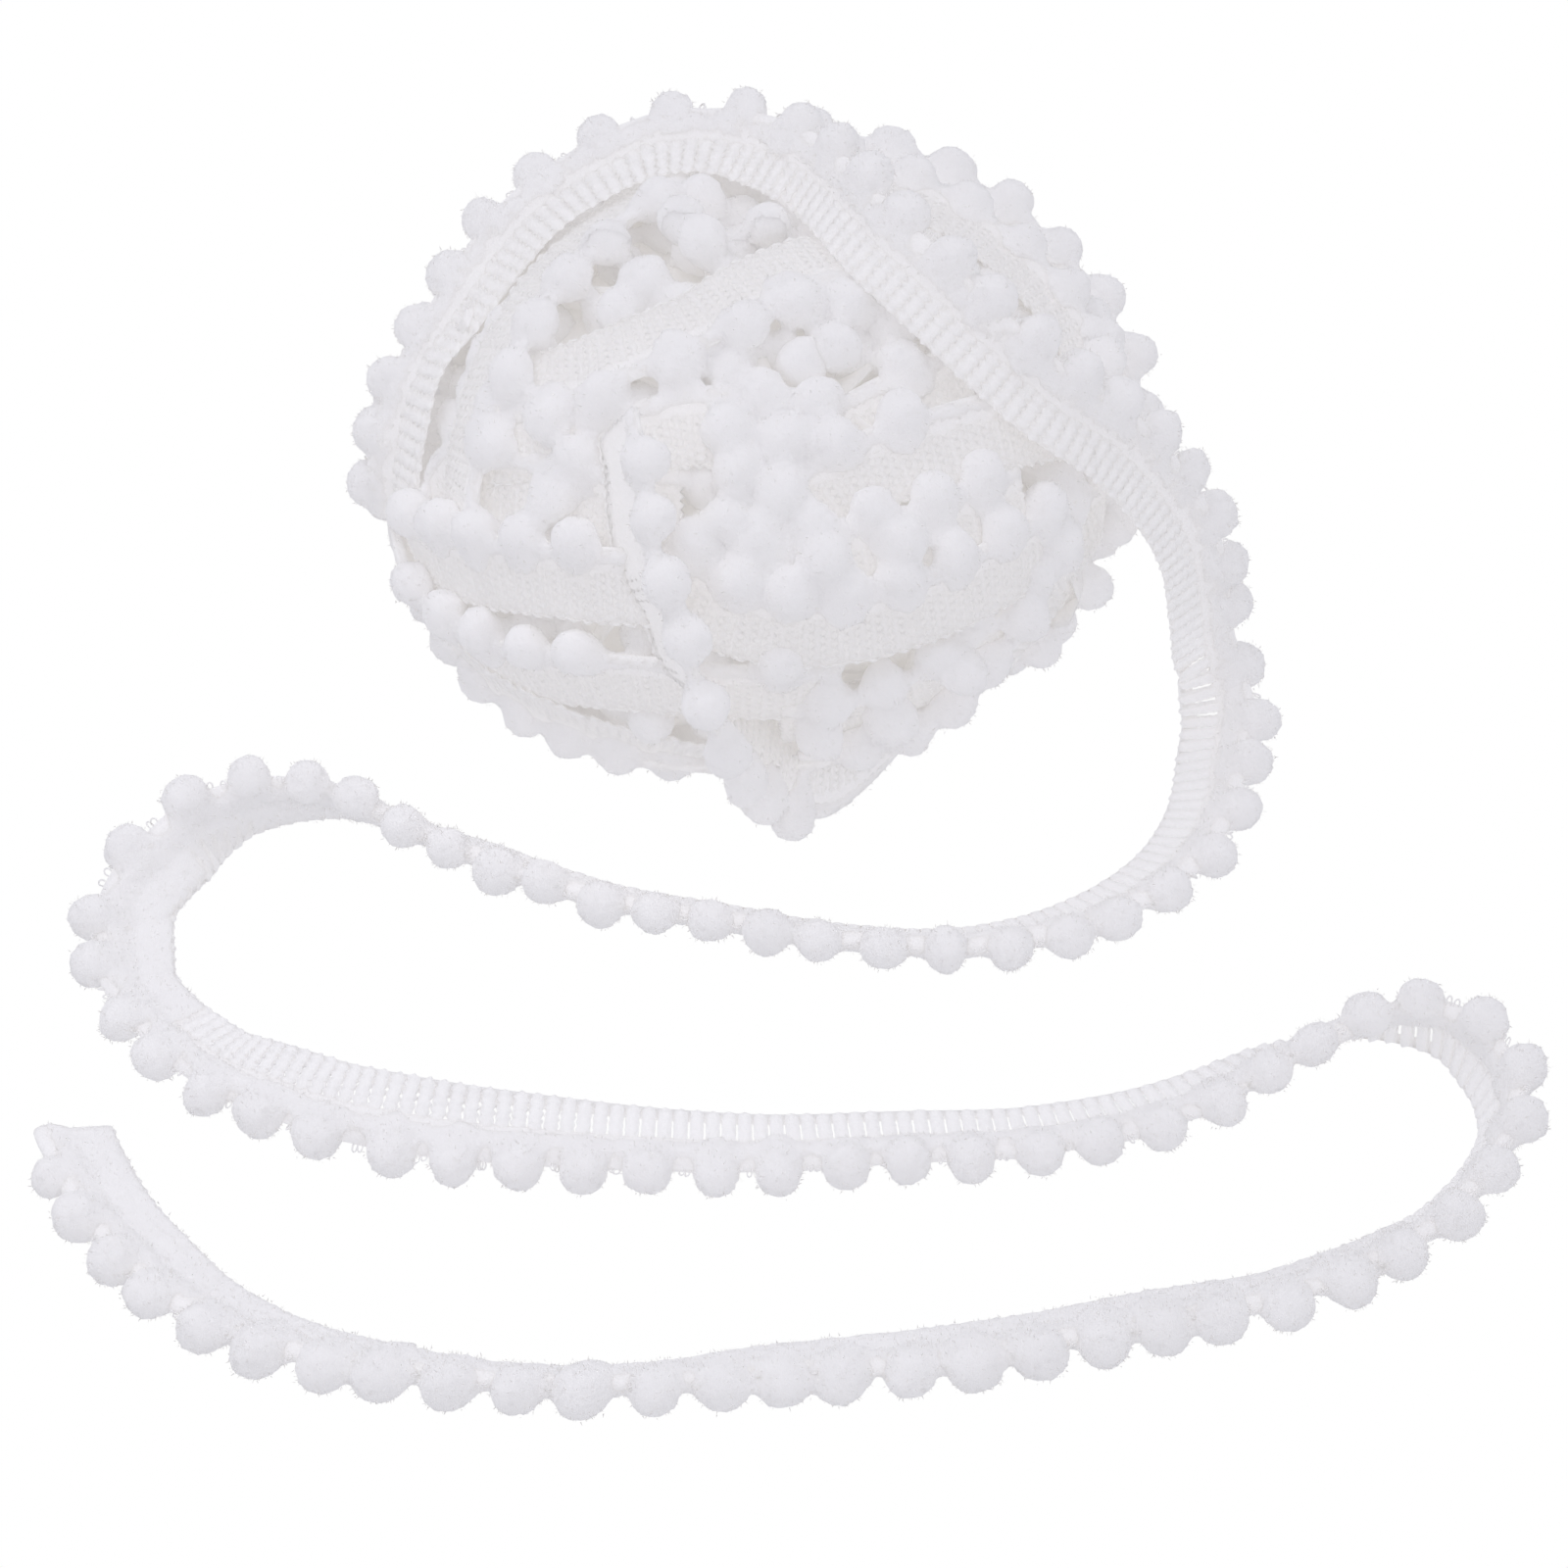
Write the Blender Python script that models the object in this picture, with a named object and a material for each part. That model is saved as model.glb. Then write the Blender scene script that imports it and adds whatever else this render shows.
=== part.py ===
"""Pompom fringe trim, most of it wound into a loose ball that rests on a flat spot.

A metre of it is drawn out as a tail, which climbs round the ball, falls off its right side and lies in an
S in front. The trim is a ribbed heading beside a smooth yarn band, and the band carries a row of pompoms.

Z is up and +Y runs to the back. Lengths are in millimetres until a mesh is made. The tables are measured
from the ball's upright middle axis, and the objects' location then puts the origin in the middle of the
ball's flat spot.
"""

import math

import bmesh
import bpy
import numpy as np

MM = 0.001

# Across the trim, each distance is taken from the line through the pompoms' centres.
POMPOM_PITCH = 10.1
POMPOM_RADIUS = 3.8
POMPOM_ALONG = 4.1
POMPOM_TIP = 3.3
POMPOM_TIP_HALF = 2.2
ROOT_HALF = 2.2
BAND_NEAR = 1.9
BAND_FAR = 6.3
HEADING_NEAR = 6.9
FREE_EDGE = 13.5
BAND_HALF_THICK = 1.2
HEADING_HALF_THICK = 0.65
MIDDLE = 8.2

# A lying tail rests on its pompoms, on its free edge, or on both.
EDGE_HEIGHT = 0.9

# The wound ball: the middle of its braid lies on this egg, and the packed middle of the ball is inside it.
BALL_MIDDLE = np.array([0.0, 0.0, 42.0])
BALL_REACH = np.array([60.5, 60.5, 44.5])
CORE_DEPTH = 5.0
CORE_ROUND = 28
CORE_RINGS = 14
TURN_TOP = 0.9
TURN_BOTTOM = 6.5
POMPOM_FLOOR = 4.4
BRAID_CLEARANCE = 8.0
POMPOM_APART = 6.5
TAIL_LEAVES_BALL = 260.0
PIECE_GAP = 0.4
FLAT_BELOW = math.sin(math.radians(-55))
LEAN = 0.12
ORIGIN_SHIFT = np.array([5.0, 0.0, 0.0])

MATERIALS = (
    # name, colour, roughness
    ("white_braid", (0.86, 0.86, 0.87), 0.55),
    ("white_pompoms", (0.88, 0.88, 0.88), 0.95),
)

# Tail where the ball carries it: the free edge, and the way the pompoms point from it.
TAIL_ON_BALL = (
    # edge x, edge y, edge z, toward x, toward y, toward z
    (-60, -20, 36, -0.35, 0.8, -0.45),
    (-60, -18, 45, -0.45, 0.7, -0.5),
    (-58, -15, 55, -0.6, 0.5, -0.6),
    (-54, -9, 65, -0.7, 0.35, -0.6),
    (-48, -1, 72, -0.75, 0.35, -0.55),
    (-41, 5, 77, -0.8, 0.4, -0.35),
    (-34, 11, 81, -0.8, 0.5, -0.15),
    (-26, 15, 84, -0.6, 0.75, 0.0),
    (-16, 17, 87, -0.15, 0.95, 0.25),
    (-5, 14, 89, 0.1, 0.95, 0.3),
    (4, 5, 90, 0.3, 0.8, 0.5),
    (11, -7, 90, 0.35, 0.65, 0.7),
    (18, -17, 88, 0.35, 0.63, 0.7),
    (27, -25, 83, 0.4, 0.6, 0.68),
    (36, -30, 76, 0.4, 0.6, 0.68),
    (45, -32, 68, 0.4, 0.6, 0.68),
    (53, -30, 60, 0.45, 0.6, 0.65),
    (60, -27, 49, 0.55, 0.6, 0.55),
    (65, -25, 38, 0.7, 0.6, 0.35),
    (68, -23, 25, 0.8, 0.56, -0.2),
    (70, -23, 12, 0.8, 0.58, -0.16),
    (71, -27, 4, 0.9, 0.3, 0.2),
)

# Tail on the surface: the line of the pompoms in plan, and the trim's roll. At 0 the pompoms lie level on
# the left of the way it runs, at 90 they stand on top, and at 180 they lie level on the right.
TAIL_LYING = (
    # x, y, roll
    (82, -33, 20),
    (79, -49, 18),
    (72, -63, 18),
    (53, -79, 22),
    (34, -85, 28),
    (12, -84, 31),
    (-9, -79, 31),
    (-28, -74, 31),
    (-47, -65, 33),
    (-55, -61, 38),
    (-63, -57, 50),
    (-73, -52, 68),
    (-84, -51, 86),
    (-94, -54, 110),
    (-103, -60, 140),
    (-109, -68, 160),
    (-109, -79, 165),
    (-107, -90, 166),
    (-102, -98, 170),
    (-96, -106, 178),
    (-89, -113, 186),
    (-79, -119, 196),
    (-69, -124, 202),
    (-59, -127, 204),
    (-49, -129, 201),
    (-38, -130, 194),
    (-19, -131, 183),
    (0, -131, 176),
    (22, -129, 171),
    (43, -127, 167),
    (63, -122, 164),
    (72, -118, 158),
    (80, -113, 147),
    (88, -109, 132),
    (96, -105, 114),
    (106, -103, 92),
    (114, -109, 74),
    (118, -119, 63),
    (116, -129, 57),
    (111, -138, 52),
    (105, -146, 44),
    (97, -152, 36),
    (88, -157, 31),
    (79, -161, 28),
    (61, -165, 26),
    (42, -170, 25),
    (21, -174, 22),
    (3, -176, 28),
    (-16, -179, 34),
    (-38, -179, 36),
    (-55, -176, 33),
    (-75, -170, 24),
    (-90, -160, 18),
    (-98, -151, 15),
    (-105, -142, 14),
    (-111, -131, 14),
    (-115, -121, 14),
    (-116, -111, 14),
)

# Pieces of the parted edge, from the ball outwards: how many pompoms each carries, and how close they sit.
TAIL_GROUPS = (
    # pompoms, pitch
    (6, 10.1),
    (6, 10.1),
    (6, 10.1),
    (6, 10.1),
    (6, 10.1),
    (5, 9.1),
    (5, 9.1),
    (6, 9.1),
    (6, 9.9),
    (7, 9.9),
    (7, 9.9),
    (6, 9.45),
    (6, 9.45),
    (7, 9.45),
    (6, 9.45),
    (6, 9.45),
    (6, 9.45),
)
TAIL_START = 7.0
BARE_END = 5.5

# Turns of the wound ball, each through a few places of its middle line. Longitude is 0 at the front and 90
# at the right, and lift is the height over the common level. The pompoms are on the left (1) or the right
# (-1) of the way the turn runs, and tip raises them off the ball.
TURNS = (
    # side, tip, (longitude, latitude, lift), (longitude, latitude, lift), ...
    (1, 4, (-100, -18, 0), (-76, -8, 1), (-55, 4, 1), (-38, 13, 1), (-22, 18, 1), (-5, 22, 0),
        (30, 25, 0), (50, 23, -1)),
    (1, 4, (-15, 20, 0), (-8, 16, 1), (1, 13, 1), (15, 12, 1), (30, 13, 1), (41, 13, 0), (53, 11, -1),
        (70, 5, -1)),
    (1, 2, (-92, -16, 1), (-66, -16, 2), (-48, -13, 2), (-34, -9, 1), (-19, -4, 0), (-5, -4, -1),
        (12, -6, -2)),
    (-1, 2, (-82, -14, 2), (-64, -17, 2), (-47, -21, 2), (-30, -23, 1), (-15, -27, 0), (-2, -31, 0)),
    (-1, 4, (66, 8, -1), (54, 0, -1), (46, -14, -1), (38, -26, 0), (24, -32, 1), (8, -33, 0)),
    (-1, 0, (58, -2, -3), (38, -8, -2), (20, -16, -2), (4, -18, -2)),
    (1, 10, (6, 36, -3), (20, 40, 0), (34, 40, 1), (53, 36, 1), (72, 26, 0), (92, 12, 0)),
    (-1, 8, (-60, 8, -2), (-62, 22, 0), (-68, 35, 1), (-78, 45, 1), (-91, 54, 1), (-110, 62, 1),
        (-160, 58, 1), (178, 48, 0)),
    (-1, 4, (-72, 34, -2), (-58, 47, 0), (-46, 58, 1), (-32, 68, 1), (-14, 76, 2), (40, 80, 2),
        (84, 72, 0), (104, 58, -1)),
    (1, 6, (-64, 2, -3), (-66, 14, -2), (-56, 22, -2), (-44, 28, -2), (-30, 32, -2), (-16, 36, -3)),
    (1, 6, (-30, 44, -1), (-16, 50, -1), (0, 50, -2), (16, 48, -2), (34, 50, -2), (56, 48, -2)),
    (1, 6, (-66, 22, -3), (-58, 30, -1), (-50, 36, -1), (-38, 42, -1), (-24, 46, -2)),
    (1, 40, (172, 54, -2), (160, 46, -1), (146, 41, -1), (133, 35, -1), (121, 28, -1), (109, 19, -1),
        (99, 10, -1), (90, -1, -1)),
    (1, 10, (150, 66, 0), (122, 58, 0), (102, 46, 0), (90, 34, 0), (82, 20, -1)),
    (-1, 10, (-88, 30, 0), (-104, 34, 0), (-126, 36, 0), (-150, 34, 0), (-174, 28, 0), (164, 18, 0),
        (146, 6, 0)),
    (1, 6, (104, -12, -1), (122, -6, 0), (146, -4, 0), (170, -6, 0), (-166, -10, 0), (-142, -14, 0),
        (-118, -14, 0)),
    (-1, 6, (-98, 6, 1), (-118, 14, 0), (-140, 12, 0), (-164, 6, 0), (172, -2, 0), (150, -16, 0),
        (130, -28, 0)),
    (-1, 2, (34, -38, 0), (12, -39, 1), (-8, -39, 1), (-28, -38, 2), (-50, -36, 2), (-72, -34, 1)),
    (1, 4, (72, -24, -2), (92, -28, -2), (116, -30, -1), (142, -32, 0), (168, -30, 0), (-164, -28, 0),
        (-112, -30, 0), (-88, -28, 0)),
)

# The slack turn that hangs down the front, dips under the ball and goes back up into it: the middle of its
# braid, and the way the pompoms point.
SLACK_TURN = (
    # x, y, z, toward x, toward y, toward z
    (-24, -36, 77, 0.5, -0.45, 0.75),
    (-23, -42, 74, 0.5, -0.5, 0.7),
    (-22, -49, 68, 0.55, -0.6, 0.55),
    (-20, -55, 62, 0.55, -0.75, 0.35),
    (-16, -60, 54, 0.55, -0.8, 0.2),
    (-13, -63, 46, 0.45, -0.9, 0.1),
    (-8, -61, 35, 0.25, -0.95, 0.1),
    (-1, -56, 25, -0.15, -0.9, -0.2),
    (5, -52, 17, -0.25, -0.8, -0.45),
    (10, -47, 11, -0.2, -0.65, -0.7),
    (16, -42, 10, 0.0, 0.1, -1.0),
    (22, -38, 11, 0.0, 0.55, -0.8),
    (28, -33, 11, 0.0, 0.7, -0.7),
    (35, -27, 12, 0.0, 0.7, -0.6),
    (42, -19, 14, 0.0, 0.7, -0.5),
)
SLACK_BARE_FROM = 84.0
SLACK_PITCH = 9.2


def unit(vectors):
    vectors = np.asarray(vectors, float)
    return vectors / np.linalg.norm(vectors, axis=-1, keepdims=True)


def smooth(rows, steps=10):
    """A smooth run through the rows, whose first three columns are a place."""
    rows = np.asarray(rows, float)
    gaps = np.linalg.norm(np.diff(rows[:, :3], axis=0), axis=1)
    slopes = np.diff(rows, axis=0) / gaps[:, None]
    turns = np.empty_like(rows)
    turns[0], turns[-1] = slopes[0], slopes[-1]
    before, after = gaps[:-1, None], gaps[1:, None]
    turns[1:-1] = (slopes[:-1] * after + slopes[1:] * before) / (before + after)
    run = []
    for i, gap in enumerate(gaps):
        for t in np.arange(steps) / steps:
            start = (1 + 2 * t) * (1 - t) ** 2 * rows[i] + t * (1 - t) ** 2 * gap * turns[i]
            end = t * t * (3 - 2 * t) * rows[i + 1] - t * t * (1 - t) * gap * turns[i + 1]
            run.append(start + end)
    run.append(rows[-1])
    return np.array(run)


class Ribbon:
    """The trim's run: the line of its pompoms and the way they point, by length along its middle."""

    def __init__(self, pompoms, toward):
        along = unit(np.gradient(pompoms, axis=0))
        toward = unit(toward - (toward * along).sum(axis=1, keepdims=True) * along)
        middle = pompoms - MIDDLE * toward
        self.length = np.append(0, np.cumsum(np.linalg.norm(np.diff(middle, axis=0), axis=1)))
        self.pompoms, self.toward, self.along = pompoms, toward, along

    def at(self, places):
        def read(values):
            return np.stack([np.interp(places, self.length, values[:, k]) for k in range(3)], axis=1)

        along = unit(read(self.along))
        toward = read(self.toward)
        toward = unit(toward - (toward * along).sum(axis=1, keepdims=True) * along)
        return read(self.pompoms), along, toward, np.cross(along, toward)


def resting_height(rise):
    """Height of the pompoms' centres on a surface, for the upward share of the way they point."""
    return np.maximum(POMPOM_RADIUS, EDGE_HEIGHT + FREE_EDGE * rise)


def tail_ribbon():
    on_ball = np.array(TAIL_ON_BALL, float)
    on_ball[:, 3:] = unit(on_ball[:, 3:])
    on_ball[:, :3] += FREE_EDGE * on_ball[:, 3:]
    lying = np.array(TAIL_LYING, float)
    roll = np.radians(lying[:, 2])
    heading = unit(np.gradient(lying[:, :2], axis=0))
    toward = np.stack([-heading[:, 1] * np.cos(roll), heading[:, 0] * np.cos(roll), np.sin(roll)], axis=1)
    places = np.column_stack([lying[:, :2], resting_height(toward[:, 2])])
    run = smooth(np.vstack([on_ball, np.column_stack([places, toward])]))
    run[:, 3:] = unit(run[:, 3:])
    floor = resting_height(run[:, 5])
    first_lying = 10 * len(on_ball)
    run[:first_lying, 2] = np.maximum(run[:first_lying, 2], floor[:first_lying])
    run[first_lying:, 2] = floor[first_lying:]
    return Ribbon(run[:, :3], run[:, 3:])


def lean(places):
    """The lower half of the ball sags to the left, and the origin is the middle of its flat spot."""
    places = np.array(places, float)
    places[..., 0] += LEAN * np.minimum(places[..., 2] - BALL_MIDDLE[2], 0)
    return places


def ball_place(longitude, latitude, lift):
    """A place over the ball's egg, and the way out of the ball there."""
    east, up = np.radians(longitude), np.radians(latitude)
    way = np.stack([np.sin(east) * np.cos(up), -np.cos(east) * np.cos(up), np.sin(up)], axis=-1)
    out = unit(way / BALL_REACH)
    return BALL_MIDDLE + BALL_REACH * way + np.asarray(lift)[..., None] * out, out


def turn_ribbon(side, tip, places):
    places = np.array(places, float)
    middle, _ = ball_place(places[:, 0], places[:, 1], places[:, 2])
    middle = smooth(middle)
    inward = (middle - BALL_MIDDLE) / BALL_REACH
    lifts = np.interp(np.arange(len(middle)), np.arange(len(places)) * 10, places[:, 2])
    out = unit(inward / BALL_REACH)
    middle = BALL_MIDDLE + BALL_REACH * unit(inward) + lifts[:, None] * out
    along = unit(np.gradient(middle, axis=0))
    out = unit(out - (out * along).sum(axis=1, keepdims=True) * along)
    toward = math.cos(math.radians(tip)) * side * np.cross(out, along) + math.sin(math.radians(tip)) * out
    return Ribbon(lean(middle) + MIDDLE * toward, toward)


def cuts_for(centres, start, end):
    """Both ends, and both sides of each pompom's root."""
    return [start] + [c + way * ROOT_HALF for c in centres for way in (-1, 1)] + [end]


def bar(ribbon, cuts, near, far, over, under, face=1, pompoms=False):
    """(points, faces) of a four-sided bar through the cuts. With pompoms, every second stretch is open on
    the near side, for a pompom's root."""
    line, _, toward, out = ribbon.at(np.array(cuts))
    corners = ((near, over), (far, over), (far, -under), (near, -under))
    points = np.stack([line - w * toward + face * h * out for w, h in corners], axis=1).reshape(-1, 3)
    last = len(points) - 4
    faces = [(3, 2, 1, 0), (last, last + 1, last + 2, last + 3)]
    for i in range(len(cuts) - 1):
        a, b = 4 * i, 4 * i + 4
        sides = 3 if pompoms and i % 2 else 4
        faces += [(a + k, a + (k + 1) % 4, b + (k + 1) % 4, b + k) for k in range(sides)]
    return list(points), faces


def add_pompom(points, faces, ribbon, centre, first, face=1):
    """A four-sided pompom on the open side between two cuts, whose corners begin at first."""
    at, along, way, normal = (v[0] for v in ribbon.at(np.array([centre])))
    rings = [(first + 4, first, first + 3, first + 7)]
    diagonal = ((1, 1), (-1, 1), (-1, -1), (1, -1))
    cross = ((1, 0), (0, 1), (-1, 0), (0, -1))
    outline = (
        (0.0, POMPOM_ALONG, POMPOM_RADIUS, cross),
        (POMPOM_TIP, POMPOM_TIP_HALF, POMPOM_TIP_HALF, diagonal),
    )
    for reach, wide, thick, shape in outline:
        rings.append(tuple(range(len(points), len(points) + 4)))
        for x, y in shape:
            points.append(at + reach * way + wide * x * along + thick * y * face * normal)
    root, middle, top = rings
    for k in range(4):
        n = (k + 1) % 4
        faces += [
            (root[k], root[n], middle[n]),
            (root[k], middle[n], middle[k]),
            (middle[k], middle[n], top[k]),
            (middle[n], top[n], top[k]),
        ]
    faces.append(top)


def fringe(ribbon, centres, start, end, near, far, over, under, face=1):
    points, faces = bar(ribbon, cuts_for(centres, start, end), near, far, over, under, face, True)
    for i, centre in enumerate(centres):
        add_pompom(points, faces, ribbon, centre, 4 + 8 * i, face)
    return points, faces


def loft(points, faces):
    shape = bmesh.new()
    verts = [shape.verts.new(point * MM) for point in points]
    for face in faces:
        shape.faces.new([verts[k] for k in face])
    return shape


def make(name, shape, collection="trim", material="white_braid"):
    """An object of this shape, placed so that the origin is the middle of the ball's flat spot."""
    bmesh.ops.recalc_face_normals(shape, faces=shape.faces)
    bmesh.ops.triangulate(shape, faces=shape.faces)
    mesh = bpy.data.meshes.new(name)
    shape.to_mesh(mesh)
    shape.free()
    mesh.materials.append(bpy.data.materials[material])
    obj = bpy.data.objects.new(name, mesh)
    obj.location = ORIGIN_SHIFT * MM
    bpy.data.collections[collection].objects.link(obj)
    return obj


def start_scene():
    for obj in list(bpy.data.objects):
        bpy.data.objects.remove(obj)
    for name in ("trim", "turns_and_cutters"):
        bpy.context.scene.collection.children.link(bpy.data.collections.new(name))
    for name, colour, roughness in MATERIALS:
        material = bpy.data.materials.new(name)
        material.use_nodes = True
        bsdf = material.node_tree.nodes["Principled BSDF"]
        bsdf.inputs["Base Color"].default_value = (*colour, 1.0)
        bsdf.inputs["Roughness"].default_value = roughness
        bsdf.inputs["Metallic"].default_value = 0.0


def build_tail(tail):
    """The ribbed heading in one length, and its pompom edge parted from it and cut into short pieces."""
    pitches = [pitch for pompoms, pitch in TAIL_GROUPS for _ in range(pompoms)]
    ends = TAIL_START + np.append(0, np.cumsum(pitches))
    centres = (ends[1:] + ends[:-1]) / 2
    ends[-1] += BARE_END
    cuts = cuts_for(centres, ends[0], ends[-1])
    heading = bar(tail, cuts, HEADING_NEAR, FREE_EDGE, HEADING_HALF_THICK, HEADING_HALF_THICK)
    make("tail_heading", loft(*heading))
    first = 0
    for i, (held, _) in enumerate(TAIL_GROUPS):
        group = centres[first : first + held]
        begin = ends[first] + PIECE_GAP / 2
        end = ends[first + held] - PIECE_GAP / 2
        shape = fringe(tail, group, begin, end, BAND_NEAR, BAND_FAR, BAND_HALF_THICK, BAND_HALF_THICK)
        make(f"pompom_edge_{i + 1:02d}", loft(*shape), material="white_pompoms")
        first += held
    return tail.at(centres)[0]


def build_core():
    """The packed middle of the ball, a sphere drawn out to an egg and flattened where it rests."""
    shape = bmesh.new()
    bmesh.ops.create_uvsphere(shape, u_segments=CORE_ROUND, v_segments=CORE_RINGS, radius=1.0)
    for vert in shape.verts:
        place = BALL_MIDDLE + (BALL_REACH - CORE_DEPTH) * np.array(vert.co)
        if vert.co.z < FLAT_BELOW:
            place[2] = 0
        vert.co = lean(place) * MM
    return make("wound_ball", shape)


def keep_outer_shell(obj):
    """Applies the Booleans and fills the sealed hollows left under crossing turns."""
    graph = bpy.context.evaluated_depsgraph_get()
    merged = bpy.data.meshes.new_from_object(obj.evaluated_get(graph))
    obj.modifiers.clear()
    obj.data = merged
    shape = bmesh.new()
    shape.from_mesh(merged)
    left = set(shape.faces)
    shells = []
    while left:
        shell = {left.pop()}
        front = list(shell)
        while front:
            face = front.pop()
            for other in {f for edge in face.edges for f in edge.link_faces} & left:
                left.remove(other)
                shell.add(other)
                front.append(other)
        shells.append(shell)
    outer = max(shells, key=len)
    bmesh.ops.delete(shape, geom=[f for f in shape.faces if f not in outer], context="FACES")
    shape.to_mesh(merged)
    shape.free()


def slack_ribbon():
    rows = np.array(SLACK_TURN, float)
    rows[:, 3:] = unit(rows[:, 3:])
    rows = smooth(rows)
    toward = unit(rows[:, 3:])
    return Ribbon(rows[:, :3] + MIDDLE * toward, toward)


def free_centres(ribbon, pitch, bare_from, braids_over, kept):
    """Where this turn's pompoms fit: off the surface, clear of the braids over it, and not inside another's."""
    count = int((ribbon.length[-1] - 2) / pitch)
    start = (ribbon.length[-1] - count * pitch) / 2
    centres = []
    for k in range(count):
        centre = start + pitch * (k + 0.5)
        place = ribbon.at(np.array([centre]))[0][0]
        from_braids = np.linalg.norm(braids_over - place, axis=1).min()
        from_others = np.linalg.norm(np.array(kept) - place, axis=1).min()
        fits = from_braids >= BRAID_CLEARANCE and from_others >= POMPOM_APART
        if fits and place[2] >= POMPOM_FLOOR and centre <= bare_from:
            centres.append(centre)
            kept.append(place)
    return centres


def combine(obj, other, operation):
    other.hide_render = True
    other.display_type = "WIRE"
    boolean = obj.modifiers.new(other.name, "BOOLEAN")
    boolean.operation = operation
    boolean.object = other


def build_ball(tail, tail_pompoms):
    braids_over = tail.pompoms - MIDDLE * tail.toward
    ball = build_core()
    kept = list(tail_pompoms)
    turns = [(slack_ribbon(), TURN_TOP, -1, SLACK_PITCH, SLACK_BARE_FROM)]
    for side, tip, *places in TURNS:
        turns.append((turn_ribbon(side, tip, places), TURN_BOTTOM, side, POMPOM_PITCH, math.inf))
    for i, (ribbon, under, face, pitch, bare_from) in enumerate(turns):
        centres = free_centres(ribbon, pitch, bare_from, braids_over, kept)
        if i == 0:
            braids_over = np.vstack([braids_over, ribbon.pompoms - MIDDLE * ribbon.toward])
        shape = fringe(ribbon, centres, 0, ribbon.length[-1], BAND_NEAR, FREE_EDGE, TURN_TOP, under, face)
        combine(ball, make(f"turn_{i:02d}", loft(*shape), "turns_and_cutters"), "UNION")
    clearances = (
        ("under_tail_braid", BAND_NEAR - 1, FREE_EDGE + 1.2, 2.0),
        ("under_tail_pompoms", -POMPOM_RADIUS - 1, BAND_NEAR + 0.5, POMPOM_RADIUS + 0.9),
    )
    stretch = np.arange(0.0, TAIL_LEAVES_BALL, 5.0)
    for name, near, far, half in clearances:
        clearance = loft(*bar(tail, stretch, near, far, half, half))
        combine(ball, make(name, clearance, "turns_and_cutters"), "DIFFERENCE")
    keep_outer_shell(ball)


start_scene()
tail = tail_ribbon()
build_ball(tail, build_tail(tail))
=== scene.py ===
import math

import bmesh
import bpy
import numpy as np
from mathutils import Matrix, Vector


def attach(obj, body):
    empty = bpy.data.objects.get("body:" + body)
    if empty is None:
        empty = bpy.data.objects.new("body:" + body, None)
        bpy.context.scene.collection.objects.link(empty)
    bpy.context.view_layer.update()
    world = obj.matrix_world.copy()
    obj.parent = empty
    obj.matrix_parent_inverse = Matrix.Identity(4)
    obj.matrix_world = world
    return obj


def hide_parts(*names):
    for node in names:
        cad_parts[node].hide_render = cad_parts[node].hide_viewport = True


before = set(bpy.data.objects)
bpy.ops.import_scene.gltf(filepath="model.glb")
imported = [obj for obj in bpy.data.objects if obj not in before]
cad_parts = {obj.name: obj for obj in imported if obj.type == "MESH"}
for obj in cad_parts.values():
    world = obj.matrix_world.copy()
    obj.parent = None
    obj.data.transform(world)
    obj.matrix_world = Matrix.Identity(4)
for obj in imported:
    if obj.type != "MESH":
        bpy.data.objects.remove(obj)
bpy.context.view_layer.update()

# Lengths are in millimetres until a mesh is made, and the tables are measured from the ball's middle axis.
MM = 0.001
ORIGIN_SHIFT = np.array([5.0, 0.0, 0.0])
ON_FLOOR = 0.05
SEED = 7
# A run takes this many steps from one row of its table to the next.
STEPS = 10
# Stands in for the nearest pompom where a run has none.
FAR_OFF = -99
# Soft unevenness is a sum of this many waves.
LUMP_WAVES = 5

# The trim. Across it, each distance is taken from the line through the pompoms' centres: the middle of the
# braid, the groove between its yarn band and its heading, and the heading's free edge.
POMPOM_PITCH = 10.1
RIB_PITCH = POMPOM_PITCH / 4
MIDDLE = 8.2
GROOVE = 6.6
FREE_EDGE = 13.5
# On a surface, the free edge lies this high, and the pompoms' line no lower than this.
EDGE_HEIGHT = 0.9
LOWEST_POMPOM = 3.8
# The braid before the tail's first pompom, and after its last.
TAIL_START = 7.0
BARE_END = 5.5

# The ball is an egg that leans, with its main turns' braids about level with it. Pompoms and bands more than
# the last of these under the egg are hidden, and left out.
BALL_MIDDLE = np.array([0.0, 0.0, 42.0])
BALL_REACH = np.array([60.5, 60.5, 44.5])
LEAN = 0.12
DEEPEST = 9.5

# Half the braid's thickness across its width: the yarn band, the groove and the heading's ground as a
# share of its own thickness.
SECTION = (
    # across, half thickness on the tail, half thickness on the ball
    (0.8, 0.4, 0.3),
    (1.1, 1.0, 0.8),
    (1.8, 1.6, 1.1),
    (2.8, 1.8, 1.1),
    (3.9, 1.75, 0.7),
    (4.9, 1.5, 0.4),
    (5.6, 1.15, 0.3),
    (6.1, 0.8, 0.3),
    (6.6, 0.6, 0.3),
    (7.2, 1.0, 1.0),
    (8.3, 1.0, 1.0),
    (9.5, 1.0, 1.0),
    (10.8, 1.0, 1.0),
    (12.0, 1.0, 1.0),
    (13.1, 1.0, 1.0),
    (13.5, 0.3, 0.3),
)
TAIL, BALL = 1, 2
# The heading's ground over one rib, as shares of its thickness: behind the ribs, and on turns without any.
GROUND = (0.25, 0.25, 0.25)
PLAIN_HEADING = (0.4, 0.8)
# Every how many columns of the section a braid takes: on each kind of run, and on any braid's back.
TAIL_SKIP, OUTER_SKIP, INNER_SKIP, BACK_SKIP = 1, 2, 3, 3
# The ground is cut through between the tail's ribs: from and to across the trim, and from what length on.
SLITS_ACROSS = (GROOVE + 0.3, 13.2)
SLITS_FROM = 240

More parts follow.
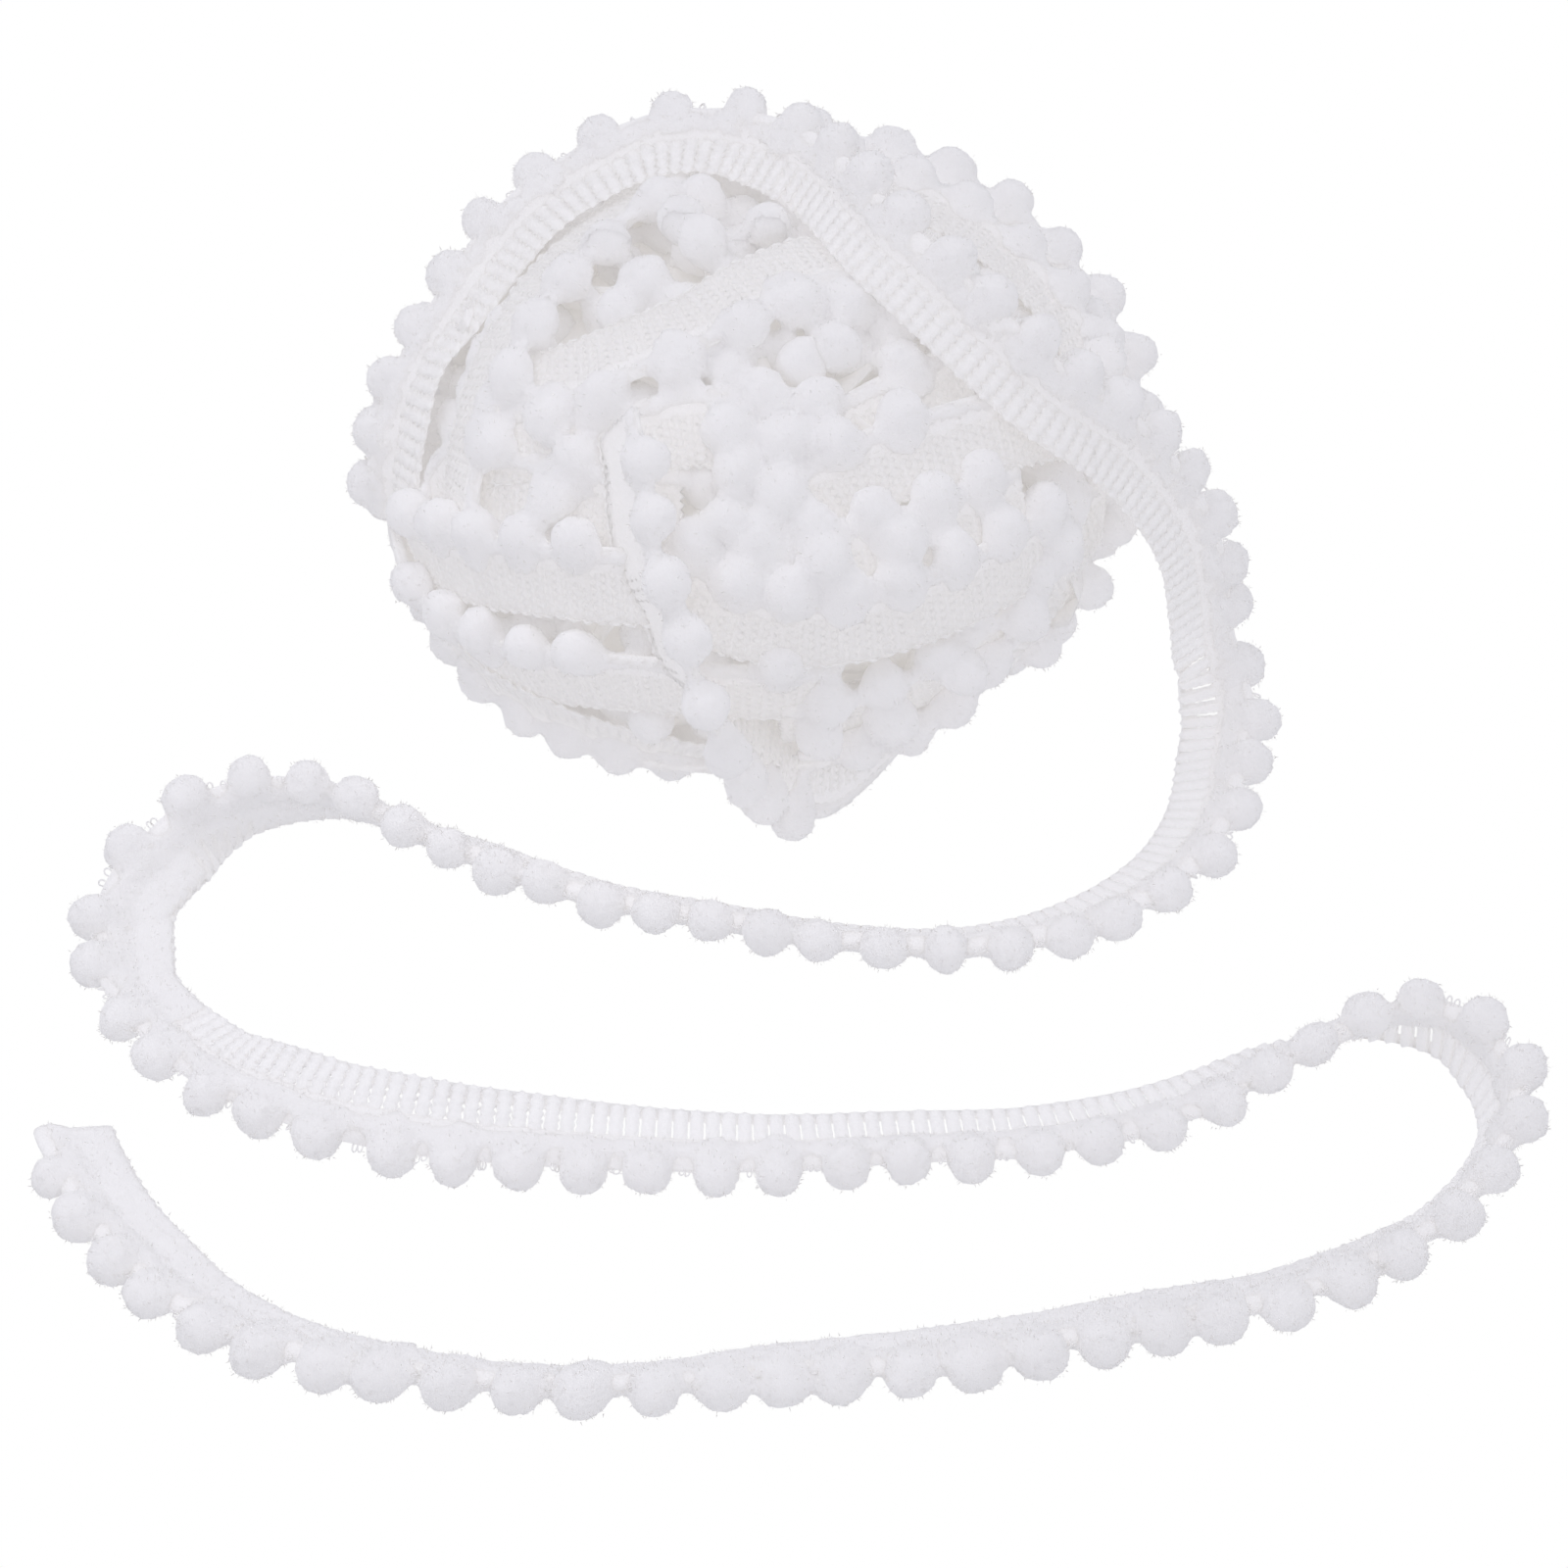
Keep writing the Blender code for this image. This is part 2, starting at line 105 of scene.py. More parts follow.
# The yarn band swells at each pompom: least share of its section, how much more, and over what length.
BRAID_SWELL = (0.85, 0.4, 3.2)
BAND_SWELL = (0.85, 0.45, 3.4)
# It is lumpy besides, at these sizes and depths, and its near edge is uneven up to this place across it.
LONG_LUMPS, SHORT_LUMPS, EDGE_LUMPS = 7.0, 3.0, 4.0
LONG_SHARE, SHORT_SHARE, EDGE_DEPTH, BAND_EDGE_DEPTH = 0.1, 0.06, 0.12, 0.15
UNEVEN_EDGE = 2.0
# The fused band ends here on the ball, and stands this far over the braid.
BALL_BAND_TO = 4.0
BAND_OVER = 0.15
# Between two of the tail's pompoms the band draws back: how steeply, from where across it, and the most.
VALLEY_SHARE, VALLEY_FROM, VALLEY_MOST = 0.55, 3.2, 2.4

# A rib of the heading runs across the braid. Its profile is a share of its half width and half thickness,
# and the knots on it show more in some places, given by length along the run.
RIB_TO = 13.75
RIB_UNEVEN = 0.12
RIB_ROUNDING = 1.1
RIB_BLUNT = 0.12
RIB_WIDTHS, RIB_THICKNESSES = (0.96, 1.02), (0.93, 1.07)
KNOT_PITCH = 1.5
KNOT_WIDER, KNOT_THICKER, KNOT_ASIDE = 0.25, 0.6, 0.5
CLOSED_WIDER, CLOSED_THINNER = 0.2, 0.1
TAIL_KNOTS = (
    # length along the run, knots, how far the ribs close up
    (230, 0.6, 0.8),
    (260, 0.15, 0.2),
    (400, 0.15, 0.2),
    (430, 0.1, 1.0),
    (510, 0.1, 1.0),
    (525, 0.5, 0.4),
    (570, 0.5, 0.2),
    (600, 0.12, 0.0),
    (870, 0.12, 0.0),
    (920, 0.1, 1.0),
)
BALL_KNOTS = ((0, 0.7, 1.0),)
FLAT_PROFILE = ((1, 0), (0.9, 0.75), (0, 1), (-0.9, 0.75), (-1, 0), (-0.9, -0.75), (0, -1), (0.9, -0.75))
ROUND_PROFILE = ((1, -0.3), (0.5, 0.95), (-0.5, 0.95), (-1, -0.3))
RIBS = {
    # from where across the braid, places along a rib, profile, knots, pitch, half width, half thickness
    TAIL: (5.4, 14, FLAT_PROFILE, TAIL_KNOTS, RIB_PITCH, 1.12, 0.5),
    BALL: (2.6, 17, ROUND_PROFILE, BALL_KNOTS, 0.72 * RIB_PITCH, 0.86, 0.42),
}
# The thread that binds the free edge: its radius, how far in from the ribs' ends it lies, how it swings round
# them, and how far it strays across and up.
THREAD_RADIUS = 0.4
THREAD_IN, THREAD_SWING, THREAD_RISE = 0.25, 0.25, 0.15
THREAD_ASTRAY = (0.08, 0.1)
THREAD_SIDES, PLACES_PER_LOOP = 4, 4
# Velvet hides the ribs over these lengths of the tail, as a slab with this section.
VELVET = ((415, 516), (775, 1010))
VELVET_SECTION = (
    # across, height
    (6.4, 0.7),
    (9.0, 0.8),
    (13.0, 0.7),
    (13.7, 0.0),
    (13.0, -0.7),
    (9.0, -0.8),
    (6.4, -0.7),
    (5.9, 0.0),
)

# A pompom, as shares of its size: half width, half thickness, and its reach to the tip and to the root.
POMPOM_SHARES = np.array([1.0, 0.97, 1.08, 1.7])
UNEVEN_SHARES = (0.92, 1.08)
ROOT_HALF_THICK = 0.8
ROOT_BLUNT = 0.35
SUNK = 0.5
LEANS_FROM = 1.5
POMPOM_TILT = 0.15
# Its surface: a few soft waves, each way round it this often, and the fine unevenness of cut yarn.
POMPOM_WAVES, WAVE_TURNS, WAVE_DEPTH, WAVE_SHARE = 5, (2.6, 5.2), 0.05, 2.2
YARN_DEPTH = 0.012
# The tail's pompoms, by number from the ball.
TAIL_SIZES = ((72, 78, 101, 102), (3.9, 4.1, 4.1, 3.2))
TAIL_SPREAD = 0.5
TURN_SIZE = 4.1
LOOSE_SIZE = 4.3

# How pompoms keep clear of the surface, of the braids over them and of each other.
POMPOM_FLOOR = 4.4
BRAID_CLEARANCE = 8.0
TURN_APART = 6.5
INNER_APART, INNER_OFF_BRAID = 5.5, 6.5
LISTED_APART, LISTED_OFF_BRAID, LISTED_UNTIDY = 4.8, 2.0, 0.25
SEEDED_APART, SEEDED_UNTIDY = 7.2, 0.35
# Bare braid at a turn's ends in all. The slack turn has none of its pompoms after this length.
TURN_BARE = 2
SLACK_BARE_FROM = 84.0
SLACK_PITCH = 9.2
# Places on the braids' faces that loose pompoms keep off: along the run, and across it.
COVER_PITCH = 3.0
COVERED_ACROSS = (4.0, 7.5, 11.0)

# The skin over the fused pompoms and bands: voxel, and rounds of easing.
TAIL_SKIN = (0.82, 3)
BALL_SKIN = (1.1, 1)
EASE = 0.5
SKIN_UNEVEN = 0.09
# The yarn ends that stand out of it: how many, and how each one sits.
TAIL_HAIRS, FRONT_HAIRS, BACK_HAIRS = 36000, 40000, 30000
HAIR_SUNK, HAIR_SPREAD, HAIR_ASTRAY = 0.05, 0.2, 0.5
HAIR_HALF_WIDTH, HAIR_LENGTH = (0.05, 0.12), (0.25, 0.75)

# A small curl of thread on the band's near edge: how many in a gap, their places and their sizes.
CURLS = 2
CURL_ALONG, CURL_FOOT, CURL_FACE = 1.1, 0.4, 0.5
CURL_WIDTH, CURL_HEIGHT, CURL_RADIUS = (0.35, 0.6), (0.5, 1.0), 0.15
CURL_PLACES, CURL_SIDES, CURL_OVER = 8, 4, 0.6
CURL_ASTRAY = (0.5, 0.3)

# The turns one layer down: how many, how their poles spread, how far round they run, through how many
# places, how they wander, how deep they lie and how far their pompoms tip out.
INNER_TURNS = 24
INNER_POLES = (1, 1, 0.7)
INNER_SWEEP = (110, 190)
INNER_PLACES = 7
INNER_WANDER = 0.05
INNER_LIFT = (-9.5, -6.0)
INNER_TIP = (10, 80)
# The wound middle of the ball, under all the turns.
CORE_DEPTH, CORE_UNEVEN, CORE_LUMPS = 11, 1.5, 0.35
CORE_FLOOR = 0.3

# Rings and points round each of the shapes that start as a sphere.
FINE_POMPOM = (14, 24)
PLAIN_POMPOM = (10, 16)
CORE_SPHERE = (40, 60)

YARNS = {
    # name: colour, roughness, sheen, fibres' grain, fibres' depth in metres, gloss, painted glow that lifts
    # the yarn's shade
    "braid_yarn": ((0.925, 0.92, 0.925), 0.5, 0.2, 1000.0, 0.00035, 0.4, 0.16),
    "pompom_yarn": ((0.92, 0.915, 0.92), 0.95, 0.4, 2600.0, 0.00018, 0.1, 0.14),
    # The inner pieces' yarn is a little warmer than the rest: painted warm shade for the hollows between the
    # turns.
    "inner_yarn_painted_warm_shade": ((0.92, 0.91, 0.895), 0.9, 0.3, 2000.0, 0.0002, 0.1, 0.14),
}
# A warm painted glow: the yarn gives off a little light of its own, which fills the shade in its gaps and
# hollows.
PAINTED_GLOW_COLOUR = (1.0, 0.965, 0.94, 1.0)
# Light that passes through the yarn: its share, and how deep in metres.
SOFT_LIGHT = 0.8
SOFT_LIGHT_DEPTH = 0.002
# Soft patches where the yarn is a little darker.
PATCH_SCALE, PATCH_SHADE = 90.0, 0.97

LIGHTS = (
    # name, kind, place in metres, aim, size, power, colour
    ("key", "AREA", (-0.45, -0.1, 1.25), (0, -0.04, 0), 1.0, 1.6, (0.95, 0.93, 1.0)),
    ("fill", "AREA", (0.7, -0.8, 0.9), (0, -0.04, 0), 0.8, 0.5, (0.96, 0.94, 1.0)),
    ("pool", "SPOT", (-0.3, 0.1, 0.85), (-0.06, -0.12, 0), 0.1, 3.2, (0.97, 0.96, 1.0)),
)
SPOT_ANGLE = 21
SKY, SKY_STRENGTH = (0.94, 0.94, 1.0, 1.0), 0.68
FLOOR_HALF, FLOOR_DROP = 6.0, 0.0002
CAMERA_LENS, CAMERA_SENSOR = 120.0, 36.0
CAMERA_AIM = np.array([0.008, -0.037, 0.0])
CAMERA_UP, CAMERA_AWAY = 42, 0.88

# Tail where the ball carries it: the free edge, and the way the pompoms point from it.
TAIL_ON_BALL = (
    # edge x, edge y, edge z, toward x, toward y, toward z
    (-60, -20, 36, -0.35, 0.8, -0.45),
    (-60, -18, 45, -0.45, 0.7, -0.5),
    (-58, -15, 55, -0.6, 0.5, -0.6),
    (-54, -9, 65, -0.7, 0.35, -0.6),
    (-48, -1, 72, -0.75, 0.35, -0.55),
    (-41, 5, 77, -0.8, 0.4, -0.35),
    (-34, 11, 81, -0.8, 0.5, -0.15),
    (-26, 15, 84, -0.6, 0.75, 0.0),
    (-16, 17, 87, -0.15, 0.95, 0.25),
    (-5, 14, 89, 0.1, 0.95, 0.3),
    (4, 5, 90, 0.3, 0.8, 0.5),
    (11, -7, 90, 0.35, 0.65, 0.7),
    (18, -17, 88, 0.35, 0.63, 0.7),
    (27, -25, 83, 0.4, 0.6, 0.68),
    (36, -30, 76, 0.4, 0.6, 0.68),
    (45, -32, 68, 0.4, 0.6, 0.68),
    (53, -30, 60, 0.45, 0.6, 0.65),
    (60, -27, 49, 0.55, 0.6, 0.55),
    (65, -25, 38, 0.7, 0.6, 0.35),
    (68, -23, 25, 0.8, 0.56, -0.2),
    (70, -23, 12, 0.8, 0.58, -0.16),
    (71, -27, 4, 0.9, 0.3, 0.2),
)

# Tail on the surface: the line of the pompoms in plan, and the trim's roll. At 0 the pompoms lie level on
# the left of the way it runs, at 90 they stand on top, and at 180 they lie level on the right.
TAIL_LYING = (
    # x, y, roll
    (82, -33, 20),
    (79, -49, 18),
    (72, -63, 18),
    (53, -79, 22),
    (34, -85, 28),
    (12, -84, 31),
    (-9, -79, 31),
    (-28, -74, 31),
    (-47, -65, 33),
    (-55, -61, 38),
    (-63, -57, 50),
    (-73, -52, 68),
    (-84, -51, 86),
    (-94, -54, 110),
    (-103, -60, 140),
    (-109, -68, 160),
    (-109, -79, 165),
    (-107, -90, 166),
    (-102, -98, 170),
    (-96, -106, 178),
    (-89, -113, 186),
    (-79, -119, 196),
    (-69, -124, 202),
    (-59, -127, 204),
    (-49, -129, 201),
    (-38, -130, 194),
    (-19, -131, 183),
    (0, -131, 176),
    (22, -129, 171),
    (43, -127, 167),
    (63, -122, 164),
    (72, -118, 158),
    (80, -113, 147),
    (88, -109, 132),
    (96, -105, 114),
    (106, -103, 92),
    (114, -109, 74),
    (118, -119, 63),
    (116, -129, 57),
    (111, -138, 52),
    (105, -146, 44),
    (97, -152, 36),
    (88, -157, 31),
    (79, -161, 28),
    (61, -165, 26),
    (42, -170, 25),
    (21, -174, 22),
    (3, -176, 28),
    (-16, -179, 34),
    (-38, -179, 36),
    (-55, -176, 33),
    (-75, -170, 24),
    (-90, -160, 18),
    (-98, -151, 15),
    (-105, -142, 14),
    (-111, -131, 14),
    (-115, -121, 14),
    (-116, -111, 14),
)

# The tail's pompoms, from the ball outwards: how many sit at each pitch.
TAIL_GROUPS = (
    # pompoms, pitch
    (6, 10.1),
    (6, 10.1),
    (6, 10.1),
    (6, 10.1),
    (6, 10.1),
    (5, 9.1),
    (5, 9.1),
    (6, 9.1),
    (6, 9.9),
    (7, 9.9),
    (7, 9.9),
    (6, 9.45),
    (6, 9.45),
    (7, 9.45),
    (6, 9.45),
    (6, 9.45),
    (6, 9.45),
)

# How far the tail's pompoms lean from the trim's own plane: along the run, and to its face.
TAIL_LEAN = (
    # pompom, along, face
    (78, 0.0, 0.0),
    (81, 0.1, -0.6),
    (86, 0.2, -0.6),
    (88, 0.7, -0.7),
    (94, 0.8, -0.7),
    (97, 0.4, -0.3),
    (100, 0.0, 0.0),
)

# Main turns of the wound ball, each through a few places of its middle line. Longitude is 0 at the front and
# 90 at the right, and lift is the height over the common level. The pompoms are on the left (1) or the right
# (-1) of the way the turn runs, and tip raises them off the ball.
TURNS = (
    # side, tip, (longitude, latitude, lift), (longitude, latitude, lift), ...
    (1, 4, (-100, -18, 0), (-76, -8, 1), (-55, 4, 1), (-38, 13, 1), (-22, 18, 1), (-5, 22, 0),
        (30, 25, 0), (50, 23, -1)),
    (1, 4, (-15, 20, 0), (-8, 16, 1), (1, 13, 1), (15, 12, 1), (30, 13, 1), (41, 13, 0), (53, 11, -1),
        (70, 5, -1)),
    (1, 2, (-92, -16, 1), (-66, -16, 2), (-48, -13, 2), (-34, -9, 1), (-19, -4, 0), (-5, -4, -1),
        (12, -6, -2)),
    (-1, 2, (-82, -14, 2), (-64, -17, 2), (-47, -21, 2), (-30, -23, 1), (-15, -27, 0), (-2, -31, 0)),
    (-1, 4, (66, 8, -1), (54, 0, -1), (46, -14, -1), (38, -26, 0), (24, -32, 1), (8, -33, 0)),
    (-1, 0, (58, -2, -3), (38, -8, -2), (20, -16, -2), (4, -18, -2)),
    (1, 10, (6, 36, -3), (20, 40, 0), (34, 40, 1), (53, 36, 1), (72, 26, 0), (92, 12, 0)),
    (-1, 8, (-60, 8, -2), (-62, 22, 0), (-68, 35, 1), (-78, 45, 1), (-91, 54, 1), (-110, 62, 1),
        (-160, 58, 1), (178, 48, 0)),
    (-1, 4, (-72, 34, -2), (-58, 47, 0), (-46, 58, 1), (-32, 68, 1), (-14, 76, 2), (40, 80, 2),
        (84, 72, 0), (104, 58, -1)),
    (1, 6, (-64, 2, -3), (-66, 14, -2), (-56, 22, -2), (-44, 28, -2), (-30, 32, -2), (-16, 36, -3)),
    (1, 6, (-30, 44, -1), (-16, 50, -1), (0, 50, -2), (16, 48, -2), (34, 50, -2), (56, 48, -2)),
    (1, 6, (-66, 22, -3), (-58, 30, -1), (-50, 36, -1), (-38, 42, -1), (-24, 46, -2)),
    (1, 40, (172, 54, -2), (160, 46, -1), (146, 41, -1), (133, 35, -1), (121, 28, -1), (109, 19, -1),
        (99, 10, -1), (90, -1, -1)),
    (1, 10, (150, 66, 0), (122, 58, 0), (102, 46, 0), (90, 34, 0), (82, 20, -1)),
    (-1, 10, (-88, 30, 0), (-104, 34, 0), (-126, 36, 0), (-150, 34, 0), (-174, 28, 0), (164, 18, 0),
        (146, 6, 0)),
    (1, 6, (104, -12, -1), (122, -6, 0), (146, -4, 0), (170, -6, 0), (-166, -10, 0), (-142, -14, 0),
        (-118, -14, 0)),
    (-1, 6, (-98, 6, 1), (-118, 14, 0), (-140, 12, 0), (-164, 6, 0), (172, -2, 0), (150, -16, 0),
        (130, -28, 0)),
    (-1, 2, (34, -38, 0), (12, -39, 1), (-8, -39, 1), (-28, -38, 2), (-50, -36, 2), (-72, -34, 1)),
    (1, 4, (72, -24, -2), (92, -28, -2), (116, -30, -1), (142, -32, 0), (168, -30, 0), (-164, -28, 0),
        (-112, -30, 0), (-88, -28, 0)),
)

# The slack turn that hangs down the front: the middle of its braid, and the way the pompoms point.
SLACK_TURN = (
    # x, y, z, toward x, toward y, toward z
    (-24, -36, 77, 0.5, -0.45, 0.75),
    (-23, -42, 74, 0.5, -0.5, 0.7),
    (-22, -49, 68, 0.55, -0.6, 0.55),
    (-20, -55, 62, 0.55, -0.75, 0.35),
    (-16, -60, 54, 0.55, -0.8, 0.2),
    (-13, -63, 46, 0.45, -0.9, 0.1),
    (-8, -61, 35, 0.25, -0.95, 0.1),
    (-1, -56, 25, -0.15, -0.9, -0.2),
    (5, -52, 17, -0.25, -0.8, -0.45),
    (10, -47, 11, -0.2, -0.65, -0.7),
    (16, -42, 10, 0.0, 0.1, -1.0),
    (22, -38, 11, 0.0, 0.55, -0.8),
    (28, -33, 11, 0.0, 0.7, -0.7),
    (35, -27, 12, 0.0, 0.7, -0.6),
    (42, -19, 14, 0.0, 0.7, -0.5),
)

# Pompoms between the main turns, whose braid runs down into the ball: where each sits, how far it stands
# over the common level, and the tilt of its braid.
LOOSE_POMPOMS = (
    # longitude, latitude, lift, braid
    (-50, 46, 1, 20), (-45, 51, 1, 20), (-38, 53, 1, 20), (-33, 58, 2, 30), (-24, 58, 1, 30),
    (-15, 55, 1, 30), (-11, 66, 2, 30), (11, 70, 2, 0), (38, 70, 1, 0), (-53, 31, 0, 20),
    (-48, 37, 0, 20), (-42, 42, 0, 20), (-34, 43, 0, 20), (-27, 47, 0, 20), (-60, 22, 0, 0),
    (-50, 26, 0, 0), (-41, 30, 0, 0), (-31, 34, 0, 0), (-9, 50, 1, 90), (-6, 43, 1, 90), (5, 49, 1, 60),
    (4, 40, 1, 60), (16, 46, 2, 60), (20, 56, 2, 60), (3, 59, 1, 60), (38, 60, 1, 120), (33, 47, 2, 120),
    (49, 49, 1, 120), (43, 42, 1, 120), (-7, 34, 1, 0), (7, 33, 1, 0), (19, 35, 1, 0), (32, 35, 1, 0),
    (43, 31, 1, 0), (40, 1, 2, 130), (31, -4, 2, 130), (10, -16, 1, 0), (22, -15, 1, 0), (-100, 77, 3, 0),
    (-70, 80, 3, 0), (-160, 80, 3, 0), (23, 28, 3, 0), (10, 27, 3, 0), (45, 40, 3, 0), (16, 44, 3, 0),
    (-75, 33, -3, 0), (-81, 38, -3, 0), (-86, 43, -3, 0), (-69, 24, -3, 0), (-79, 28, -3, 0),
    (-90, 36, -3, 0), (-93, 24, -1, 0), (-84, 20, -1, 0),
)

# More of them, seeded over the whole ball at each level where there is room.
SEEDED_POMPOMS = (
    # level, tries, how far off the braids' faces
    (0.5, 900, 5.5),
    (-2.0, 1500, 5.0),
    (-5.0, 2500, 4.5),
)
GOLDEN_ANGLE = 137.508


def unit(vectors):
    vectors = np.asarray(vectors, float)
    return vectors / np.linalg.norm(vectors, axis=-1, keepdims=True)


def square_to(vectors, along):
    """The vectors' directions, turned square to these unit ones."""
    return unit(vectors - (vectors * along).sum(axis=1, keepdims=True) * along)


def nearest(places, place):
    return np.linalg.norm(np.asarray(places) - place, axis=1).min()


def smooth(rows):
    """A smooth run through the rows, whose first three columns are a place."""
    rows = np.asarray(rows, float)
    gaps = np.linalg.norm(np.diff(rows[:, :3], axis=0), axis=1)
    slopes = np.diff(rows, axis=0) / gaps[:, None]
    turns = np.empty_like(rows)
    turns[0], turns[-1] = slopes[0], slopes[-1]
    before, after = gaps[:-1, None], gaps[1:, None]
    turns[1:-1] = (slopes[:-1] * after + slopes[1:] * before) / (before + after)
    run = []
    for i, gap in enumerate(gaps):
        for t in np.arange(STEPS) / STEPS:
            start = (1 + 2 * t) * (1 - t) ** 2 * rows[i] + t * (1 - t) ** 2 * gap * turns[i]
            end = t * t * (3 - 2 * t) * rows[i + 1] - t * t * (1 - t) * gap * turns[i + 1]
            run.append(start + end)
    run.append(rows[-1])
    return np.array(run)


class Ribbon:
    """The trim's run: the line of its pompoms and the way they point, by length along its middle."""

    def __init__(self, pompoms, toward):
        along = unit(np.gradient(pompoms, axis=0))
        toward = square_to(toward, along)
        self.middle = pompoms - MIDDLE * toward
        steps = np.linalg.norm(np.diff(self.middle, axis=0), axis=1)
        self.length = np.append(0, np.cumsum(steps))
        self.pompoms, self.toward, self.along = pompoms, toward, along

    def at(self, places):
        """(pompoms' line, along, toward, out) at these lengths."""

        def read(values):
            return np.stack([np.interp(places, self.length, values[:, k]) for k in range(3)], axis=1)

        along = unit(read(self.along))
        toward = square_to(read(self.toward), along)
        return read(self.pompoms), along, toward, np.cross(along, toward)


def resting_height(rise):
    """Height of the pompoms' line over a surface, for the upward share of the way they point."""
    return np.maximum(LOWEST_POMPOM, EDGE_HEIGHT + FREE_EDGE * rise)


def tail_ribbon():
    on_ball = np.array(TAIL_ON_BALL, float)
    on_ball[:, 3:] = unit(on_ball[:, 3:])
    on_ball[:, :3] += FREE_EDGE * on_ball[:, 3:]
    lying = np.array(TAIL_LYING, float)
    roll = np.radians(lying[:, 2])
    heading = unit(np.gradient(lying[:, :2], axis=0))
    toward = np.stack([-heading[:, 1] * np.cos(roll), heading[:, 0] * np.cos(roll), np.sin(roll)], axis=1)
    places = np.column_stack([lying[:, :2], resting_height(toward[:, 2])])
    run = smooth(np.vstack([on_ball, np.column_stack([places, toward])]))
    run[:, 3:] = unit(run[:, 3:])
    floor = resting_height(run[:, 5])
    first_lying = STEPS * len(on_ball)
    run[:first_lying, 2] = np.maximum(run[:first_lying, 2], floor[:first_lying])
    run[first_lying:, 2] = floor[first_lying:]
    return Ribbon(run[:, :3], run[:, 3:])


def lean(places):
    """The lower half of the ball sags to the left."""
    places = np.array(places, float)
    places[..., 0] += LEAN * np.minimum(places[..., 2] - BALL_MIDDLE[2], 0)
    return places


def ball_place(longitude, latitude, lift):
    """A place over the ball's egg, and the way out of the ball there."""
    east, up = np.radians(longitude), np.radians(latitude)
    way = np.stack([np.sin(east) * np.cos(up), -np.cos(east) * np.cos(up), np.sin(up)], axis=-1)
    out = unit(way / BALL_REACH)
    return BALL_MIDDLE + BALL_REACH * way + np.asarray(lift)[..., None] * out, out


def turn_ribbon(side, tip, places):
    places = np.array(places, float)
    middle, _ = ball_place(places[:, 0], places[:, 1], places[:, 2])
    middle = smooth(middle)
    way = (middle - BALL_MIDDLE) / BALL_REACH
    lifts = np.interp(np.arange(len(middle)), np.arange(len(places)) * STEPS, places[:, 2])
    out = unit(way / BALL_REACH)
    middle = BALL_MIDDLE + BALL_REACH * unit(way) + lifts[:, None] * out
    along = unit(np.gradient(middle, axis=0))
    out = square_to(out, along)
    toward = math.cos(math.radians(tip)) * side * np.cross(out, along) + math.sin(math.radians(tip)) * out
    return Ribbon(lean(middle) + MIDDLE * toward, toward)


def slack_ribbon():
    rows = np.array(SLACK_TURN, float)
    rows[:, 3:] = unit(rows[:, 3:])
    rows = smooth(rows)
    toward = unit(rows[:, 3:])
    return Ribbon(rows[:, :3] + MIDDLE * toward, toward)


def lumps(points, size, chance):
    """A soft unevenness from -1 to 1 over the points, of about this size."""
    total = np.zeros(len(points))
    for _ in range(LUMP_WAVES):
        way = unit(chance.normal(size=3)) * 2 * math.pi / (size * chance.uniform(0.7, 1.4))
        total += np.sin(points @ way + chance.uniform(0, 2 * math.pi))
    return total / LUMP_WAVES


def lumps_along(lengths, size, chance):
    return lumps(np.column_stack([lengths, 0 * lengths, 0 * lengths]), size, chance)


def tube_faces(rows, columns):
    """Faces of a tube, (rows - 1, columns, 4), for points numbered round each row in turn."""
    index = np.arange(rows * columns).reshape(rows, columns)
    low, high = index[:-1], index[1:]
    return np.stack([low, np.roll(low, -1, axis=1), np.roll(high, -1, axis=1), high], axis=-1)


class Pile:
    """Points, faces and texture places gathered for one piece."""

    def __init__(self):
        self.points, self.faces, self.places, self.count = [], [], [], 0

    def add(self, points, faces, places=None):
        self.points.append(points)
        self.faces += (np.asarray(faces) + self.count).tolist()
        self.places.append(np.zeros((len(points), 2)) if places is None else places)
        self.count += len(points)

    def add_closed_tube(self, points):
        """A tube through points given as (rows, columns, 3), with a cap at each end."""
        rows, columns = points.shape[:2]
        first = self.count
        self.add(points.reshape(-1, 3), tube_faces(rows, columns).reshape(-1, 4)[:, ::-1])
        self.faces.append(list(range(first, first + columns)))
        self.faces.append(list(range(self.count - 1, self.count - 1 - columns, -1)))

    def piece(self, name, material):
        mesh = bpy.data.meshes.new(name)
        points = np.concatenate(self.points)
        points[:, 2] = np.maximum(points[:, 2], ON_FLOOR)
        points = (points + ORIGIN_SHIFT) * MM
        mesh.from_pydata(points.tolist(), [], self.faces)
        places = np.concatenate(self.places)
        if np.any(places):
            corners = np.empty(len(mesh.loops), np.int32)
            mesh.loops.foreach_get("vertex_index", corners)
            layer = mesh.uv_layers.new(name="across_and_along")
            layer.data.foreach_set("uv", places[corners].astype(np.float32).ravel())
        mesh.shade_smooth()
        mesh.materials.append(material)
        obj = bpy.data.objects.new(name, mesh)
        bpy.context.scene.collection.objects.link(obj)
        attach(obj, "root")
        return obj


def to_pompom(lengths, centres):
    return np.abs(lengths[:, None] - np.append(centres, FAR_OFF)).min(axis=1)


def swelling(distances, least, more, over):
    return least + more * np.exp(-((distances / over) ** 2))


